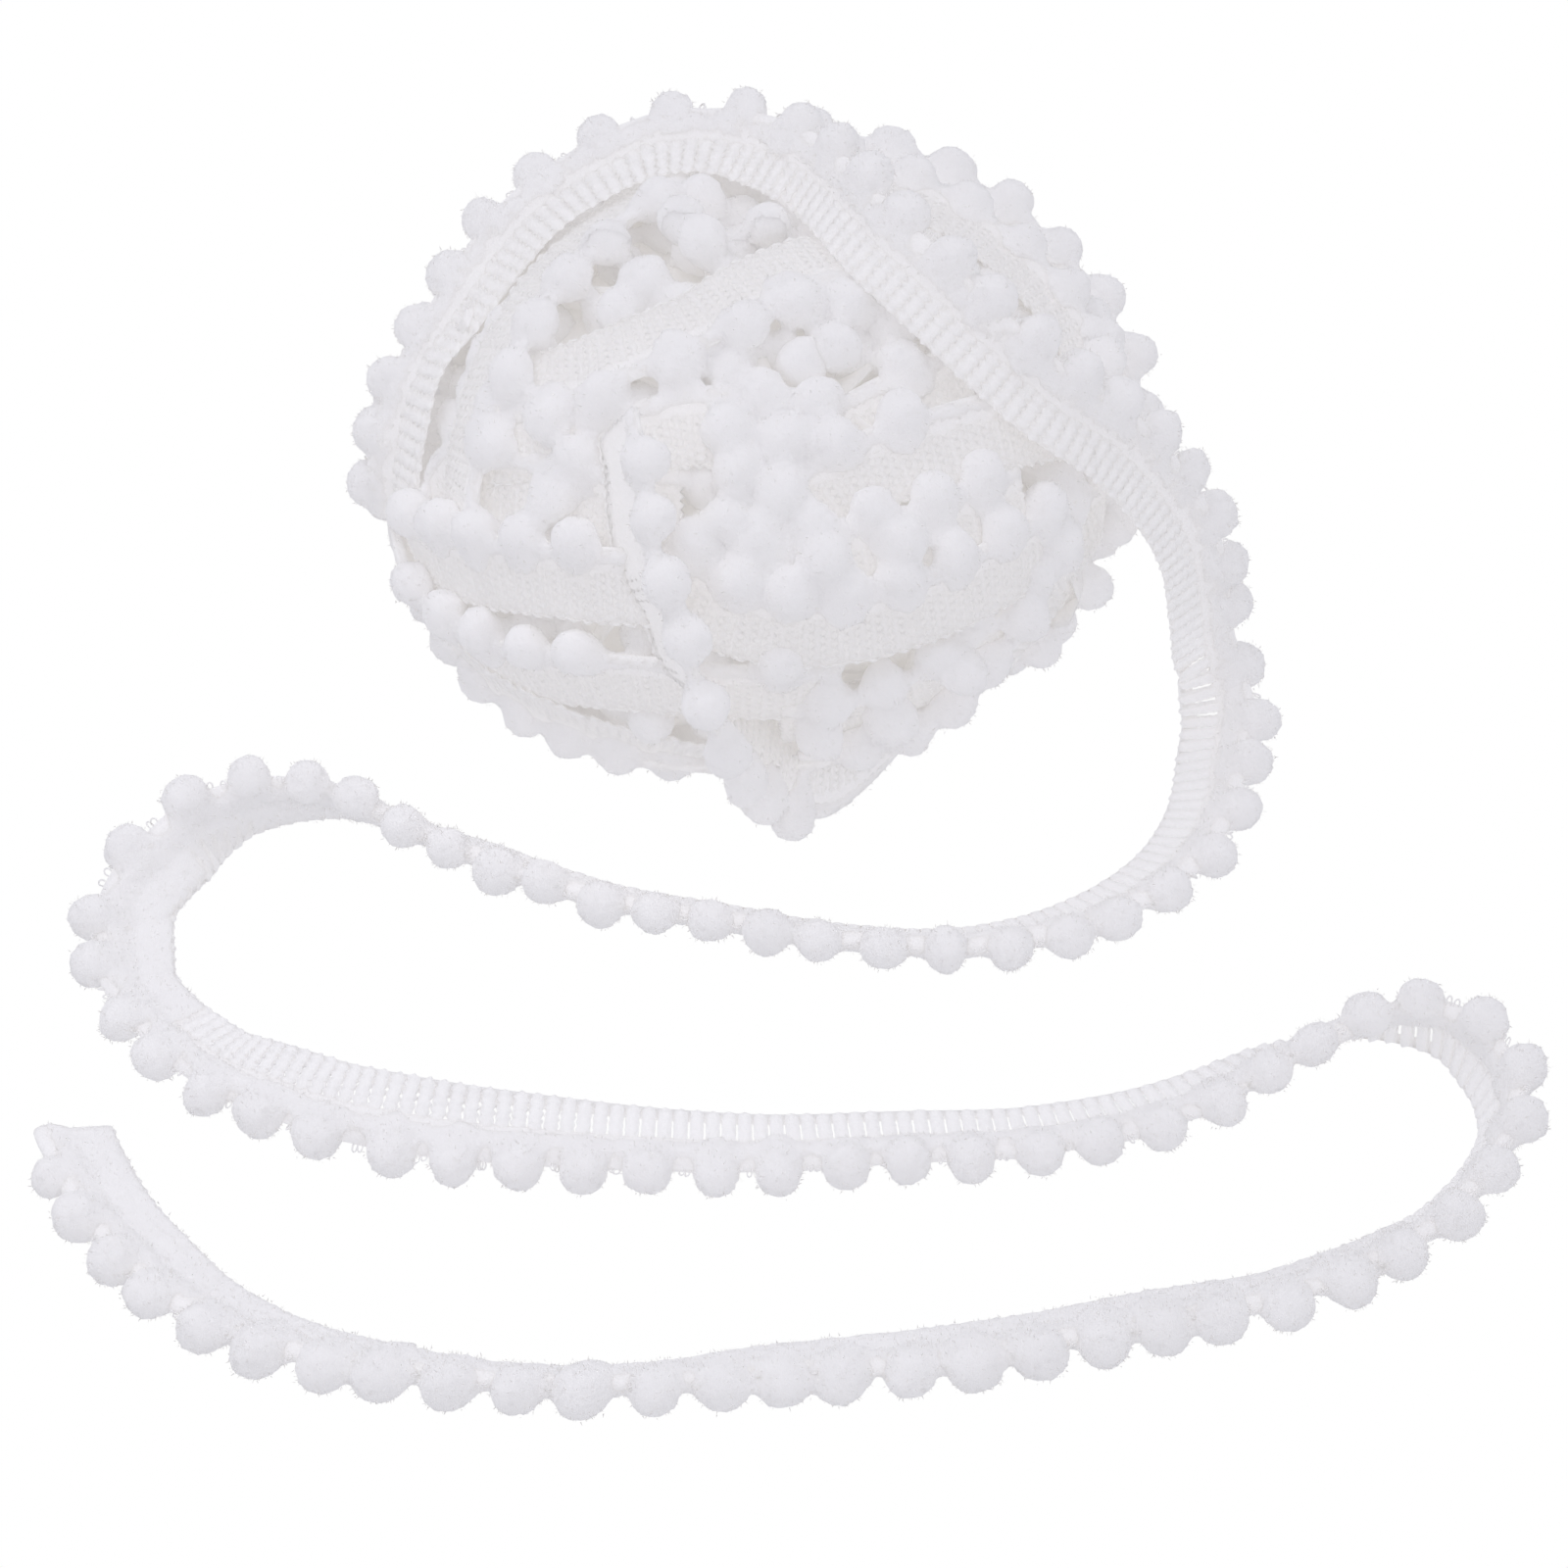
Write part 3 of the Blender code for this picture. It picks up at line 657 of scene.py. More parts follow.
def add_braid(pile, ribbon, start, end, centres, heading, skip, chance, face=1, on=BALL):
    """The yarn band, the groove and the heading's ground, with both faces and round edges."""
    rows = len(heading)
    ribs = max(2, round((end - start) / RIB_PITCH))
    places = start + (end - start) / ribs * (np.arange(ribs * rows) + 0.5) / rows
    section = np.array(SECTION, float)
    groove = section[:, 0].tolist().index(GROOVE)
    front = section[sorted({*range(0, len(section), skip), 0, groove, len(section) - 1})]
    back = section[::-1][::BACK_SKIP]
    across = np.concatenate([front[:, 0], back[:, 0]])
    half = np.concatenate([front[:, on], -back[:, on]])
    soft = swelling(to_pompom(places, centres), *BRAID_SWELL)
    soft += LONG_SHARE * lumps_along(places, LONG_LUMPS, chance)
    soft += SHORT_SHARE * lumps_along(places, SHORT_LUMPS, chance)
    relief = np.tile(heading, ribs)
    h = half * np.where(across > GROOVE, relief[:, None], soft[:, None])
    near = EDGE_DEPTH * lumps_along(places, EDGE_LUMPS, chance)
    w = across + np.clip(UNEVEN_EDGE - across, 0, 1) * near[:, None]
    line, _, toward, out = ribbon.at(places)
    points = line[:, None] - w[..., None] * toward[:, None] + face * h[..., None] * out[:, None]
    quads = tube_faces(len(places), len(across))
    if on == TAIL:
        slit = (across > SLITS_ACROSS[0]) & (across < SLITS_ACROSS[1])
        between = (np.arange(1, len(places)) % rows == 0) & (places[1:] > SLITS_FROM)
        quads = quads[~((slit & np.roll(slit, -1)) & between[:, None])]
    if face > 0:
        quads = quads[..., ::-1]
    texture = np.stack(np.broadcast_arrays(across / 10, places[:, None] / 10), axis=-1).reshape(-1, 2)
    pile.add(points.reshape(-1, 3), quads.reshape(-1, 4), texture)


def add_band(pile, ribbon, start, end, centres, chance, on=BALL):
    """The yarn band alone, as one closed tube that the pompoms are fused to."""
    section = np.array(SECTION, float)
    section = section[section[:, 0] < (GROOVE if on == TAIL else BALL_BAND_TO)]
    across = np.concatenate([section[:, 0], section[::-1, 0]])
    half = np.concatenate([section[:, on], -section[::-1, on]])
    places = np.linspace(start, end, max(2, round(end - start)))
    distances = to_pompom(places, centres)
    soft = swelling(distances, *BAND_SWELL) + LONG_SHARE * lumps_along(places, LONG_LUMPS, chance)
    line, _, toward, out = ribbon.at(places)
    h = half * soft[:, None] + BAND_OVER * np.sign(half)
    near = lumps_along(places, EDGE_LUMPS, chance)
    w = across + np.clip(UNEVEN_EDGE - across, 0, 1) * BAND_EDGE_DEPTH * near[:, None]
    if on == TAIL:
        drawn_back = swelling(distances, 1, -1, BAND_SWELL[2])
        w += VALLEY_SHARE * np.clip(VALLEY_FROM - across, 0, VALLEY_MOST) * drawn_back[:, None]
    pile.add_closed_tube(line[:, None] - w[..., None] * toward[:, None] + h[..., None] * out[:, None])


def add_velvet(pile, ribbon, start, end):
    """The velvet that hides the heading's ribs over a part of the run, as one closed slab."""
    places = np.linspace(start, end, max(2, round(end - start)))
    across, height = np.transpose(VELVET_SECTION)
    line, _, toward, out = ribbon.at(places)
    pile.add_closed_tube(line[:, None] - across[:, None] * toward[:, None] + height[:, None] * out[:, None])


def read_mesh(items, name, kind, size):
    values = np.empty(size * len(items), kind)
    items.foreach_get(name, values)
    return values


def fuse(shapes, voxel, rounds, chance):
    """The points, outward ways and faces of one skin over the closed shapes of a pile, its creases eased."""
    mesh = bpy.data.meshes.new("shapes")
    mesh.from_pydata(np.concatenate(shapes.points).tolist(), [], shapes.faces)
    obj = bpy.data.objects.new("shapes", mesh)
    bpy.context.scene.collection.objects.link(obj)
    remesh = obj.modifiers.new("skin", "REMESH")
    remesh.mode = "VOXEL"
    remesh.voxel_size = voxel
    ease = obj.modifiers.new("ease", "SMOOTH")
    ease.factor = EASE
    ease.iterations = rounds
    bpy.context.view_layer.update()
    skin = bpy.data.meshes.new_from_object(obj.evaluated_get(bpy.context.evaluated_depsgraph_get()))
    points = read_mesh(skin.vertices, "co", np.float32, 3).reshape(-1, 3).astype(float)
    normals = read_mesh(skin.vertices, "normal", np.float32, 3).reshape(-1, 3).astype(float)
    faces = read_mesh(skin.loops, "vertex_index", np.int32, 1).reshape(-1, 4)
    bpy.data.objects.remove(obj)
    bpy.data.meshes.remove(mesh)
    bpy.data.meshes.remove(skin)
    points += SKIN_UNEVEN * chance.normal(size=(len(points), 1)) * normals
    return points, normals, faces


def add_fuzzy(pile, points, normals, faces, count, chance):
    """A skin and the short yarn ends that stand out of it."""
    used, index = np.unique(faces, return_inverse=True)
    points, normals = points[used], normals[used]
    pile.add(points, index.reshape(faces.shape))
    picked = chance.integers(0, len(normals), count)
    roots = points[picked] - HAIR_SUNK * normals[picked] + chance.normal(0, HAIR_SPREAD, (count, 3))
    ways = unit(normals[picked] + chance.normal(0, HAIR_ASTRAY, (count, 3)))
    cross = unit(np.cross(ways, chance.normal(size=(count, 3))))
    cross *= chance.uniform(*HAIR_HALF_WIDTH, (count, 1))
    tips = roots + ways * chance.uniform(*HAIR_LENGTH, (count, 1))
    hair = np.stack([roots - cross, roots + cross, tips], axis=1).reshape(-1, 3)
    pile.add(hair, np.arange(3 * count).reshape(-1, 3))


def add_ribs(pile, ribbon, start, end, chance, face=1, on=BALL):
    """The heading's ribs: thick threads bound across the braid, knotted and a little apart."""
    near, stations, profile, knots, pitch, half_wide, half_thick = RIBS[on]
    ribs = max(2, round((end - start) / pitch))
    centres = start + (end - start) / ribs * (np.arange(ribs) + 0.5)
    line, along, toward, out = (v[:, None, None] for v in ribbon.at(centres))
    reach = RIB_TO + chance.uniform(-RIB_UNEVEN, RIB_UNEVEN, (ribs, 1))
    w = (near + (reach - near) * np.linspace(0, 1, stations))[..., None]
    ends = np.minimum(1, np.sqrt(np.clip((reach[..., None] - w) / RIB_ROUNDING, 0, 1)) + RIB_BLUNT)
    phase = (math.pi * np.arange(ribs) + chance.normal(0, 0.5, ribs))[:, None, None]
    table = np.array(knots, float)
    knotted, closed = (np.interp(centres, table[:, 0], table[:, k])[:, None, None] for k in (1, 2))
    knot = knotted * np.sin(2 * math.pi * w / KNOT_PITCH + phase)
    wider = 1 + KNOT_WIDER * knot + CLOSED_WIDER * closed
    wide = half_wide * ends * wider * chance.uniform(*RIB_WIDTHS, (ribs, 1, 1))
    thicker = 1 + KNOT_THICKER * knot - CLOSED_THINNER * closed
    thick = half_thick * ends * thicker * chance.uniform(*RIB_THICKNESSES, (ribs, 1, 1))
    slant = KNOT_ASIDE * knotted * np.cos(2 * math.pi * w / KNOT_PITCH + phase)
    profile = np.array(profile, float)
    a = (wide * profile[:, 0] + slant)[..., None]
    h = face * (thick * profile[:, 1])[..., None]
    points = line - w[..., None] * toward + a * along + h * out
    sides = len(profile)
    index = np.arange(ribs * stations * sides).reshape(ribs, stations, sides)
    low, high = index[:, :-1], index[:, 1:]
    quads = np.stack([low, high, np.roll(high, -1, axis=2), np.roll(low, -1, axis=2)], axis=-1).reshape(-1, 4)
    caps = np.concatenate([index[:, 0], index[:, -1, ::-1]])
    if face < 0:
        quads, caps = quads[:, ::-1], caps[:, ::-1]
    pile.add(points.reshape(-1, 3), quads)
    pile.faces += (caps + pile.count - index.size).tolist()


def add_edge_thread(pile, ribbon, start, end, chance):
    """The thread that binds the heading's free edge, looped round each rib."""
    ribs = max(2, round((end - start) / RIB_PITCH))
    turns = (np.arange(PLACES_PER_LOOP * ribs) + 0.5) / PLACES_PER_LOOP
    places = start + (end - start) / ribs * turns
    line, _, toward, out = (v[:, None] for v in ribbon.at(places))
    bow = np.cos(2 * math.pi * turns)
    w = RIB_TO - THREAD_IN - THREAD_SWING * bow + THREAD_ASTRAY[0] * chance.normal(size=len(turns))
    h = THREAD_RISE * np.sin(2 * math.pi * turns) + THREAD_ASTRAY[1] * chance.normal(size=len(turns))
    middle = line - w[:, None, None] * toward + h[:, None, None] * out
    around = (2 * math.pi / THREAD_SIDES * np.arange(THREAD_SIDES))[None, :, None]
    points = middle + THREAD_RADIUS * (np.cos(around) * toward + np.sin(around) * out)
    # Its sides run the other way round.
    faces = tube_faces(len(points), THREAD_SIDES)[..., [0, 3, 2, 1]]
    pile.add(points.reshape(-1, 3), faces.reshape(-1, 4))


def add_curls(pile, ribbon, places, chance):
    """Small curls of thread on the band's near edge between two pompoms."""
    turn = np.linspace(-CURL_OVER, math.pi + CURL_OVER, CURL_PLACES)
    around = 2 * math.pi * np.arange(CURL_SIDES) / CURL_SIDES
    for place in np.repeat(places, CURLS):
        place = np.array([place + chance.uniform(-CURL_ALONG, CURL_ALONG)])
        line, along, toward, out = (v[0] for v in ribbon.at(place))
        flat = unit(along + chance.normal(0, CURL_ASTRAY[0]) * out)
        up = unit(toward + chance.normal(0, CURL_ASTRAY[1]) * out)
        side = np.cross(flat, up)
        wide, tall = chance.uniform(*CURL_WIDTH), chance.uniform(*CURL_HEIGHT)
        foot = line - CURL_FOOT * toward + chance.uniform(-CURL_FACE, CURL_FACE) * out
        ring = foot + wide * np.cos(turn)[:, None] * flat + tall * np.sin(turn)[:, None] * up
        outward = unit(np.cos(turn)[:, None] * flat + np.sin(turn)[:, None] * up)
        round_it = np.cos(around)[None, :, None] * outward[:, None] + np.sin(around)[None, :, None] * side
        tube = ring[:, None] + CURL_RADIUS * round_it
        pile.add(tube.reshape(-1, 3), tube_faces(CURL_PLACES, CURL_SIDES).reshape(-1, 4))


def sphere(rings, around):
    """(points, faces) of a ball of radius 1 with its poles on the third axis."""
    points = [(0.0, 0.0, -1.0)]
    for i in range(1, rings):
        rise = math.pi * (i / rings - 0.5)
        for j in range(around):
            turn = 2 * math.pi * (j + 0.5 * (i % 2)) / around
            points.append((math.cos(rise) * math.cos(turn), math.cos(rise) * math.sin(turn), math.sin(rise)))
    points.append((0.0, 0.0, 1.0))
    faces = []
    last = len(points) - 1
    for j in range(around):
        n = (j + 1) % around
        faces.append((0, 1 + n, 1 + j))
        faces.append((last, last - around + j, last - around + n))
    for i in range(rings - 2):
        low, high = 1 + i * around, 1 + (i + 1) * around
        for j in range(around):
            n = (j + 1) % around
            if i % 2:
                faces += [(low + j, low + n, high + j), (low + n, high + n, high + j)]
            else:
                faces += [(low + j, high + n, high + j), (low + j, low + n, high + n)]
    return np.array(points), np.array(faces)


def add_pompom(pile, place, along, toward, out, size, shape, chance, lean_by=(0, 0)):
    """A cut-yarn pompom: a fat thumb rooted in the yarn band, with soft lumps."""
    ball, faces = shape
    wide, thick, tip, root = size * POMPOM_SHARES * chance.uniform(*UNEVEN_SHARES, 4)
    tilt = chance.normal(0, POMPOM_TILT, 2) + lean_by
    way = unit(toward + tilt[0] * along + tilt[1] * out)
    side = unit(along - (along @ way) * way)
    frame_of = np.stack([side, np.cross(way, side), way])
    waves = unit(chance.normal(size=(POMPOM_WAVES, 3))) * chance.uniform(*WAVE_TURNS, (POMPOM_WAVES, 1))
    phases = chance.uniform(0, 2 * math.pi, POMPOM_WAVES)
    behind = np.clip(-ball[:, 2], 0, 1)
    blunt = np.sqrt((1 + behind**2) / (1 + ROOT_BLUNT * behind**2))
    long = np.where(ball[:, 2] < 0, root, tip)
    half = thick + (ROOT_HALF_THICK - thick) * behind
    uneven = 1 + WAVE_DEPTH * np.sin(ball @ waves.T + phases).sum(axis=1) / WAVE_SHARE
    thumb = ball * np.column_stack([wide * blunt, half * blunt, long]) * uneven[:, None]
    place = place - SUNK * toward - LEANS_FROM * (toward - way)
    points = thumb * (1 + YARN_DEPTH * chance.normal(size=len(ball)))[:, None] @ frame_of + place
    points[:, 2] = np.maximum(points[:, 2], ON_FLOOR)
    pile.add(points, faces)


class Room:
    """Where a pompom of the ball fits: off the surface, and clear of the braids over it and other pompoms."""

    def __init__(self, over, pompoms):
        self.over, self.pompoms = over, list(pompoms)

    def lay_over(self, ribbon):
        """A braid that lies over the later turns."""
        self.over = np.vstack([self.over, ribbon.middle])

    def take(self, place, apart):
        """Whether a pompom fits here, this far from the others. If it does, the place is taken."""
        fits = place[2] >= POMPOM_FLOOR and nearest(self.pompoms, place) >= apart
        fits = fits and nearest(self.over, place) >= BRAID_CLEARANCE
        if fits:
            self.pompoms.append(place)
        return fits


def free_centres(ribbon, pitch, room, apart, bare_from=math.inf):
    """Lengths along this turn where its pompoms fit."""
    count = int((ribbon.length[-1] - TURN_BARE) / pitch)
    start = (ribbon.length[-1] - count * pitch) / 2
    centres = start + pitch * (np.arange(count) + 0.5)
    places = ribbon.at(centres)[0]
    return [c for c, place in zip(centres, places) if c <= bare_from and room.take(place, apart)]


def set_inputs(node, values):
    for name, value in values.items():
        node.inputs[name].default_value = value


def yarn(name, colour, roughness, sheen, grain, depth, gloss, painted_glow):
    """White yarn: soft light within, a velvet sheen, fine fibres, and a warm painted glow that lifts its
    shade.
    """
    material = bpy.data.materials.new(name)
    material.use_nodes = True
    nodes, links = material.node_tree.nodes, material.node_tree.links
    bsdf = nodes["Principled BSDF"]
    looks = {
        "Roughness": roughness,
        "Specular IOR Level": gloss,
        "Sheen Weight": sheen,
        "Sheen Roughness": 0.5,
        "Subsurface Weight": SOFT_LIGHT,
        # Painted glow: the yarn shines a little by itself, which lifts the shade between pompoms and turns.
        "Emission Color": PAINTED_GLOW_COLOUR,
        "Emission Strength": painted_glow,
        "Subsurface Radius": (1.0, 1.0, 1.0),
        "Subsurface Scale": SOFT_LIGHT_DEPTH,
    }
    set_inputs(bsdf, looks)
    where = nodes.new("ShaderNodeTexCoord")
    patches = nodes.new("ShaderNodeTexNoise")
    set_inputs(patches, {"Scale": PATCH_SCALE})
    links.new(where.outputs["Object"], patches.inputs["Vector"])
    tint = nodes.new("ShaderNodeValToRGB")
    dark, light = tint.color_ramp.elements
    dark.position, light.position = 0.3, 0.7
    dark.color = (*(c * PATCH_SHADE for c in colour), 1.0)
    light.color = (*colour, 1.0)
    links.new(patches.outputs["Fac"], tint.inputs["Fac"])
    links.new(tint.outputs["Color"], bsdf.inputs["Base Color"])
    fibres = nodes.new("ShaderNodeTexNoise")
    set_inputs(fibres, {"Scale": grain, "Detail": 4.0, "Roughness": 0.7})
    links.new(where.outputs["Object"], fibres.inputs["Vector"])
    bump = nodes.new("ShaderNodeBump")
    set_inputs(bump, {"Strength": 1.0, "Distance": depth})
    links.new(fibres.outputs["Fac"], bump.inputs["Height"])
    links.new(bump.outputs["Normal"], bsdf.inputs["Normal"])
    return material


def add_light(name, kind, place, aim, size, power, colour):
    """A soft light, a disc or a spot, that points at its aim."""
    light = bpy.data.lights.new(name, kind)
    if kind == "AREA":
        light.shape = "DISK"
        light.size = size
    else:
        light.shadow_soft_size = size
        light.spot_size = math.radians(SPOT_ANGLE)
        light.spot_blend = 1.0
    light.energy = power
    light.color = colour
    obj = bpy.data.objects.new(name, light)
    obj.location = place
    obj.rotation_euler = (Vector(aim) - Vector(place)).to_track_quat("-Z", "Y").to_euler()
    bpy.context.scene.collection.objects.link(obj)


def build_floor():
    """A white floor that glows evenly and casts nothing on the trim."""
    mesh = bpy.data.meshes.new("floor")
    shape = bmesh.new()
    bmesh.ops.create_grid(shape, x_segments=1, y_segments=1, size=FLOOR_HALF)
    shape.to_mesh(mesh)
    shape.free()
    floor = bpy.data.objects.new("floor", mesh)
    floor.location = (0, 0, -FLOOR_DROP)
    bpy.context.scene.collection.objects.link(floor)
    paper = bpy.data.materials.new("white_paper")
    paper.use_nodes = True
    looks = {
        "Base Color": (0.0, 0.0, 0.0, 1.0),
        "Roughness": 1.0,
        "Specular IOR Level": 0.0,
        "Emission Color": (1.0, 1.0, 1.0, 1.0),
        "Emission Strength": 1.0,
    }
    set_inputs(paper.node_tree.nodes["Principled BSDF"], looks)
    mesh.materials.append(paper)
    floor.visible_diffuse = False
    floor.visible_glossy = False
    floor.visible_transmission = False


def build_light():
    world = bpy.data.worlds.new("studio")
    world.use_nodes = True
    set_inputs(world.node_tree.nodes["Background"], {"Color": SKY, "Strength": SKY_STRENGTH})
    bpy.context.scene.world = world
    for light in LIGHTS:
        add_light(*light)


def build_camera():
    data = bpy.data.cameras.new("camera")
    data.lens = CAMERA_LENS
    data.sensor_width = CAMERA_SENSOR
    camera = bpy.data.objects.new("camera", data)
    up = math.radians(CAMERA_UP)
    camera.location = CAMERA_AIM + CAMERA_AWAY * np.array([0.0, -math.cos(up), math.sin(up)])
    camera.rotation_euler = (math.radians(90) - up, 0, 0)
    bpy.context.scene.collection.objects.link(camera)
    bpy.context.scene.camera = camera
    bpy.context.scene.view_settings.view_transform = "Standard"


def add_tail_pompoms(pile, tail, gaps, chance):
    """The tail's pompoms, fused to their band and to the velvet, with curls of thread in the gaps."""
    centres = (gaps[1:] + gaps[:-1]) / 2
    start, end = gaps[0], gaps[-1] + BARE_END
    shapes = Pile()
    add_band(shapes, tail, start, end, centres, chance, on=TAIL)
    for first, last in VELVET:
        add_velvet(shapes, tail, first, min(last, end))
    spots = centres + chance.uniform(-TAIL_SPREAD, TAIL_SPREAD, len(centres))
    number = np.arange(len(centres))
    sizes = np.interp(number, *TAIL_SIZES)
    pompom, lean_along, lean_face = np.transpose(TAIL_LEAN)
    leans = zip(np.interp(number, pompom, lean_along), np.interp(number, pompom, lean_face))
    for *pose, size, lean_by in zip(*tail.at(spots), sizes, leans):
        add_pompom(shapes, *pose, size, fine, chance, lean_by)
    add_fuzzy(pile, *fuse(shapes, *TAIL_SKIN, chance), TAIL_HAIRS, chance)
    add_curls(pile, tail, gaps[1:-1], chance)


def add_outer_turn(braids, ribs, shapes, ribbon, face, centres, chance):
    length = ribbon.length[-1]
    add_braid(braids, ribbon, 0, length, centres, GROUND, OUTER_SKIP, chance, face)
    add_ribs(ribs, ribbon, 0, length, chance, face)
    add_edge_thread(ribs, ribbon, 0, length, chance)
    add_band(shapes, ribbon, 0, length, centres, chance)
    for pose in zip(*ribbon.at(np.array(centres))):
        add_pompom(shapes, *pose, TURN_SIZE, fine, chance)


def covers(ribbons):
    """Places along the braids' faces, which the loose pompoms keep clear of."""
    places = []
    for ribbon in ribbons:
        line, _, toward, _ = ribbon.at(np.arange(0, ribbon.length[-1], COVER_PITCH))
        places += [line - w * toward for w in COVERED_ACROSS]
    return np.concatenate(places)


def standing(longitude, latitude, lift, braid, untidy, chance):
    """(place, along, toward, out) of a pompom that points out of the ball from a braid on edge."""
    place, out = ball_place(longitude, latitude, lift)
    toward = unit(out + untidy * chance.normal(size=3))
    east = np.array([math.cos(math.radians(longitude)), math.sin(math.radians(longitude)), 0.0])
    north = np.cross(out, east)
    along = math.cos(math.radians(braid)) * east + math.sin(math.radians(braid)) * north
    along = unit(along - (along @ toward) * toward)
    return lean(place), along, toward, np.cross(along, toward)


def spread_places(count, chance):
    """Longitudes and latitudes spread over the ball, in a mixed order."""
    number = chance.permutation(count)
    latitude = np.degrees(np.arcsin(1 - 2 * (number + 0.5) / count))
    longitude = (number * GOLDEN_ANGLE) % 360 - 180
    return zip(longitude, latitude)


def add_loose_pompoms(shapes, room, faces_kept, chance):
    """Pompoms that stand between the main turns: the listed ones, then a crowd that fills the gaps."""

    def add(pose, apart, off_braid, shape):
        if nearest(faces_kept, pose[0]) >= off_braid and room.take(pose[0], apart):
            add_pompom(shapes, *pose, LOOSE_SIZE, shape, chance)

    for row in LOOSE_POMPOMS:
        add(standing(*row, LISTED_UNTIDY, chance), LISTED_APART, LISTED_OFF_BRAID, fine)
    for level, count, off_braid in SEEDED_POMPOMS:
        for longitude, latitude in spread_places(count, chance):
            lift, braid = level + chance.uniform(-1, 1), chance.uniform(0, 180)
            pose = standing(longitude, latitude, lift, braid, SEEDED_UNTIDY, chance)
            add(pose, SEEDED_APART, off_braid, plain)


def add_ball_skin(front_pile, back_pile, shapes, chance):
    """The ball's pompoms and bands as one skin, in a front and a back half."""
    points, normals, faces = fuse(shapes, *BALL_SKIN, chance)
    middle = points[faces].mean(axis=1)
    middle[:, 0] -= LEAN * np.minimum(middle[:, 2] - BALL_MIDDLE[2], 0)
    seen = np.linalg.norm((middle - BALL_MIDDLE) / (BALL_REACH - DEEPEST), axis=1) > 1
    front = middle[:, 1] < 0
    add_fuzzy(front_pile, points, normals, faces[seen & front], FRONT_HAIRS, chance)
    add_fuzzy(back_pile, points, normals, faces[seen & ~front], BACK_HAIRS, chance)


def inner_ways(chance):
    """(side, tip, places) of each seeded turn one layer down, which shows between the main ones."""
    turns = []
    for _ in range(INNER_TURNS):
        pole = unit(chance.normal(size=3) * INNER_POLES)
        first = unit(np.cross(pole, chance.normal(size=3)))
        second = np.cross(pole, first)
        sweep = np.radians(np.linspace(0, chance.uniform(*INNER_SWEEP), INNER_PLACES))
        ways = np.outer(np.cos(sweep), first) + np.outer(np.sin(sweep), second)
        ways = unit(ways + chance.normal(0, INNER_WANDER, ways.shape))
        latitude = np.degrees(np.arcsin(ways[:, 2]))
        longitude = np.degrees(np.arctan2(ways[:, 0], -ways[:, 1]))
        lift = chance.uniform(*INNER_LIFT) + chance.uniform(-1, 1, INNER_PLACES)
        side, tip = chance.choice([-1, 1]), chance.uniform(*INNER_TIP)
        turns.append((side, tip, np.column_stack([longitude, latitude, lift])))
    return turns


def add_inner_turns(braids, pompoms, room, faces_kept, chance):
    for side, tip, places in inner_ways(chance):
        ribbon = turn_ribbon(side, tip, places)
        centres = np.array(free_centres(ribbon, POMPOM_PITCH, room, INNER_APART))
        clear = [nearest(faces_kept, place) > INNER_OFF_BRAID for place in ribbon.at(centres)[0]]
        centres = centres[np.array(clear, bool)]
        add_braid(braids, ribbon, 0, ribbon.length[-1], centres, PLAIN_HEADING, INNER_SKIP, chance, side)
        for pose in zip(*ribbon.at(centres)):
            add_pompom(pompoms, *pose, TURN_SIZE, plain, chance)


def add_core(pile, chance):
    ball, faces = sphere(*CORE_SPHERE)
    out = unit(ball / BALL_REACH)
    depth = CORE_DEPTH + CORE_UNEVEN * lumps(ball, CORE_LUMPS, chance)
    points = BALL_MIDDLE + ball * BALL_REACH - out * depth[:, None]
    points[:, 2] = np.maximum(points[:, 2], CORE_FLOOR)
    pile.add(lean(points), faces)


chance = np.random.default_rng(SEED)
yarns = {name: yarn(name, *look) for name, look in YARNS.items()}
fine, plain = sphere(*FINE_POMPOM), sphere(*PLAIN_POMPOM)

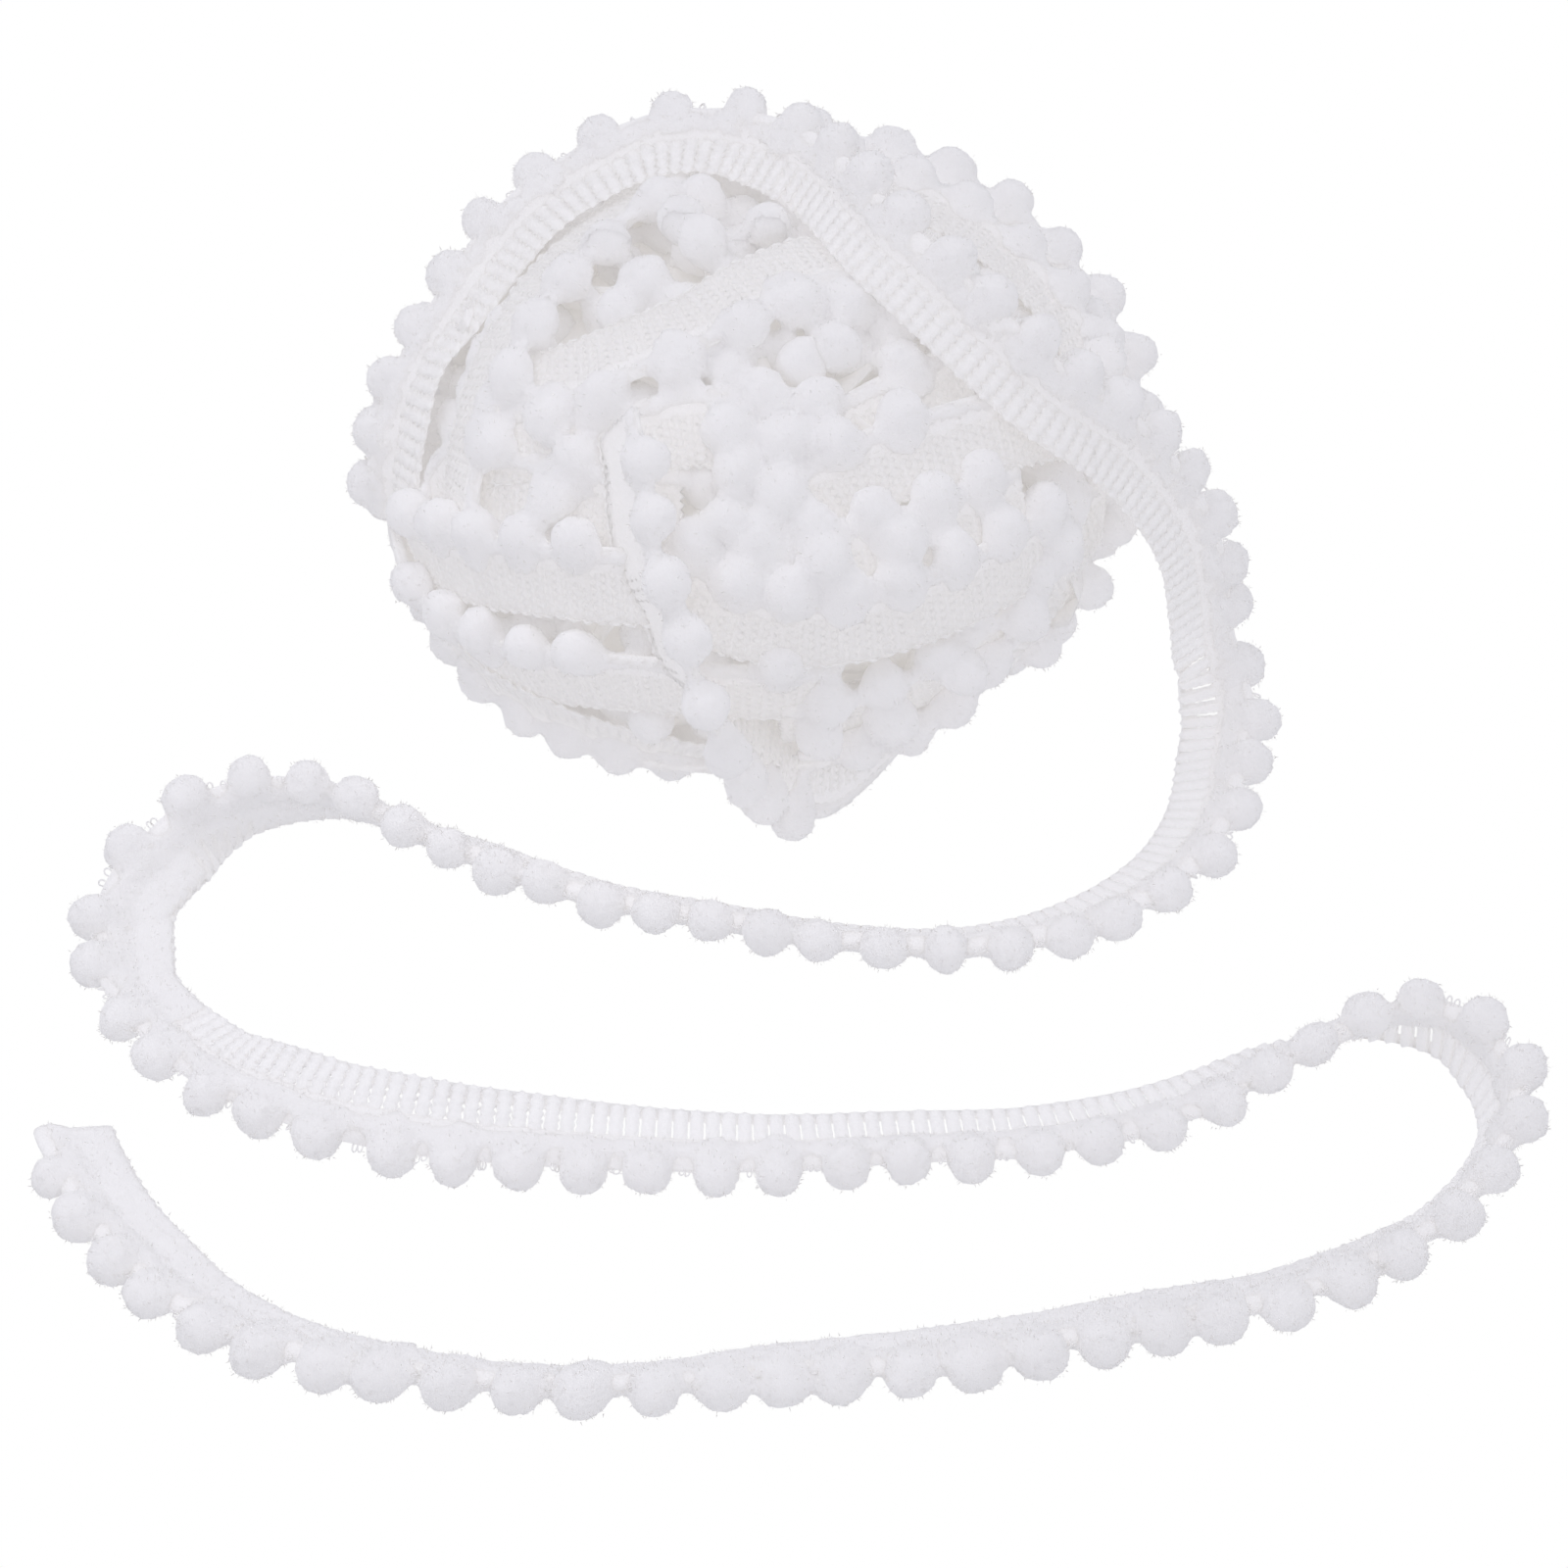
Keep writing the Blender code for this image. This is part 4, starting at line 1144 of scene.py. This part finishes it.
tail = tail_ribbon()
pitches = [pitch for pompoms, pitch in TAIL_GROUPS for _ in range(pompoms)]
gaps = TAIL_START + np.append(0, np.cumsum(pitches))
centres = (gaps[1:] + gaps[:-1]) / 2
start, end = gaps[0], gaps[-1] + BARE_END
tail_braid, tail_ribs, tail_pompoms = Pile(), Pile(), Pile()
add_braid(tail_braid, tail, start, end, centres, GROUND, TAIL_SKIP, chance, on=TAIL)
add_ribs(tail_ribs, tail, start, end, chance, on=TAIL)
add_tail_pompoms(tail_pompoms, tail, gaps, chance)
tail_braid = tail_braid.piece("tail_braid", yarns["braid_yarn"])
tail_ribs = tail_ribs.piece("tail_ribs", yarns["braid_yarn"])
tail_pompoms = tail_pompoms.piece("tail_pompoms", yarns["pompom_yarn"])

# The slack turn is laid first, and the others keep clear of it as they do of the tail.
room = Room(tail.middle, tail.at(centres)[0])
braids, ribs, shapes = Pile(), Pile(), Pile()
slack = slack_ribbon()
slack_centres = free_centres(slack, SLACK_PITCH, room, TURN_APART, SLACK_BARE_FROM)
add_outer_turn(braids, ribs, shapes, slack, -1, slack_centres, chance)
room.lay_over(slack)
ribbons = [tail, slack]
for side, tip, *places in TURNS:
    ribbon = turn_ribbon(side, tip, places)
    turn_centres = free_centres(ribbon, POMPOM_PITCH, room, TURN_APART)
    add_outer_turn(braids, ribs, shapes, ribbon, side, turn_centres, chance)
    ribbons.append(ribbon)
faces_kept = covers(ribbons)
add_loose_pompoms(shapes, room, faces_kept, chance)
front_pompoms, back_pompoms, inner_braids, inner_pompoms, core = (Pile() for _ in range(5))
add_ball_skin(front_pompoms, back_pompoms, shapes, chance)
add_inner_turns(inner_braids, inner_pompoms, room, faces_kept, chance)
add_core(core, chance)
ball = [
    braids.piece("ball_turns", yarns["braid_yarn"]),
    ribs.piece("ball_ribs", yarns["braid_yarn"]),
    front_pompoms.piece("front_pompoms", yarns["pompom_yarn"]),
    back_pompoms.piece("back_pompoms", yarns["pompom_yarn"]),
    # The inner turns and the ball's middle take the yarn with the painted warm shade.
    inner_braids.piece("inner_turns", yarns["inner_yarn_painted_warm_shade"]),
    inner_pompoms.piece("inner_pompoms", yarns["pompom_yarn"]),
    core.piece("ball_middle", yarns["inner_yarn_painted_warm_shade"]),
]
for piece in ball:
    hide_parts("wound_ball")
edges = sorted(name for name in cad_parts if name.startswith("pompom_edge"))
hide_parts("tail_heading", *edges)
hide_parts("tail_heading")
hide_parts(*edges)

build_floor()
build_light()
build_camera()
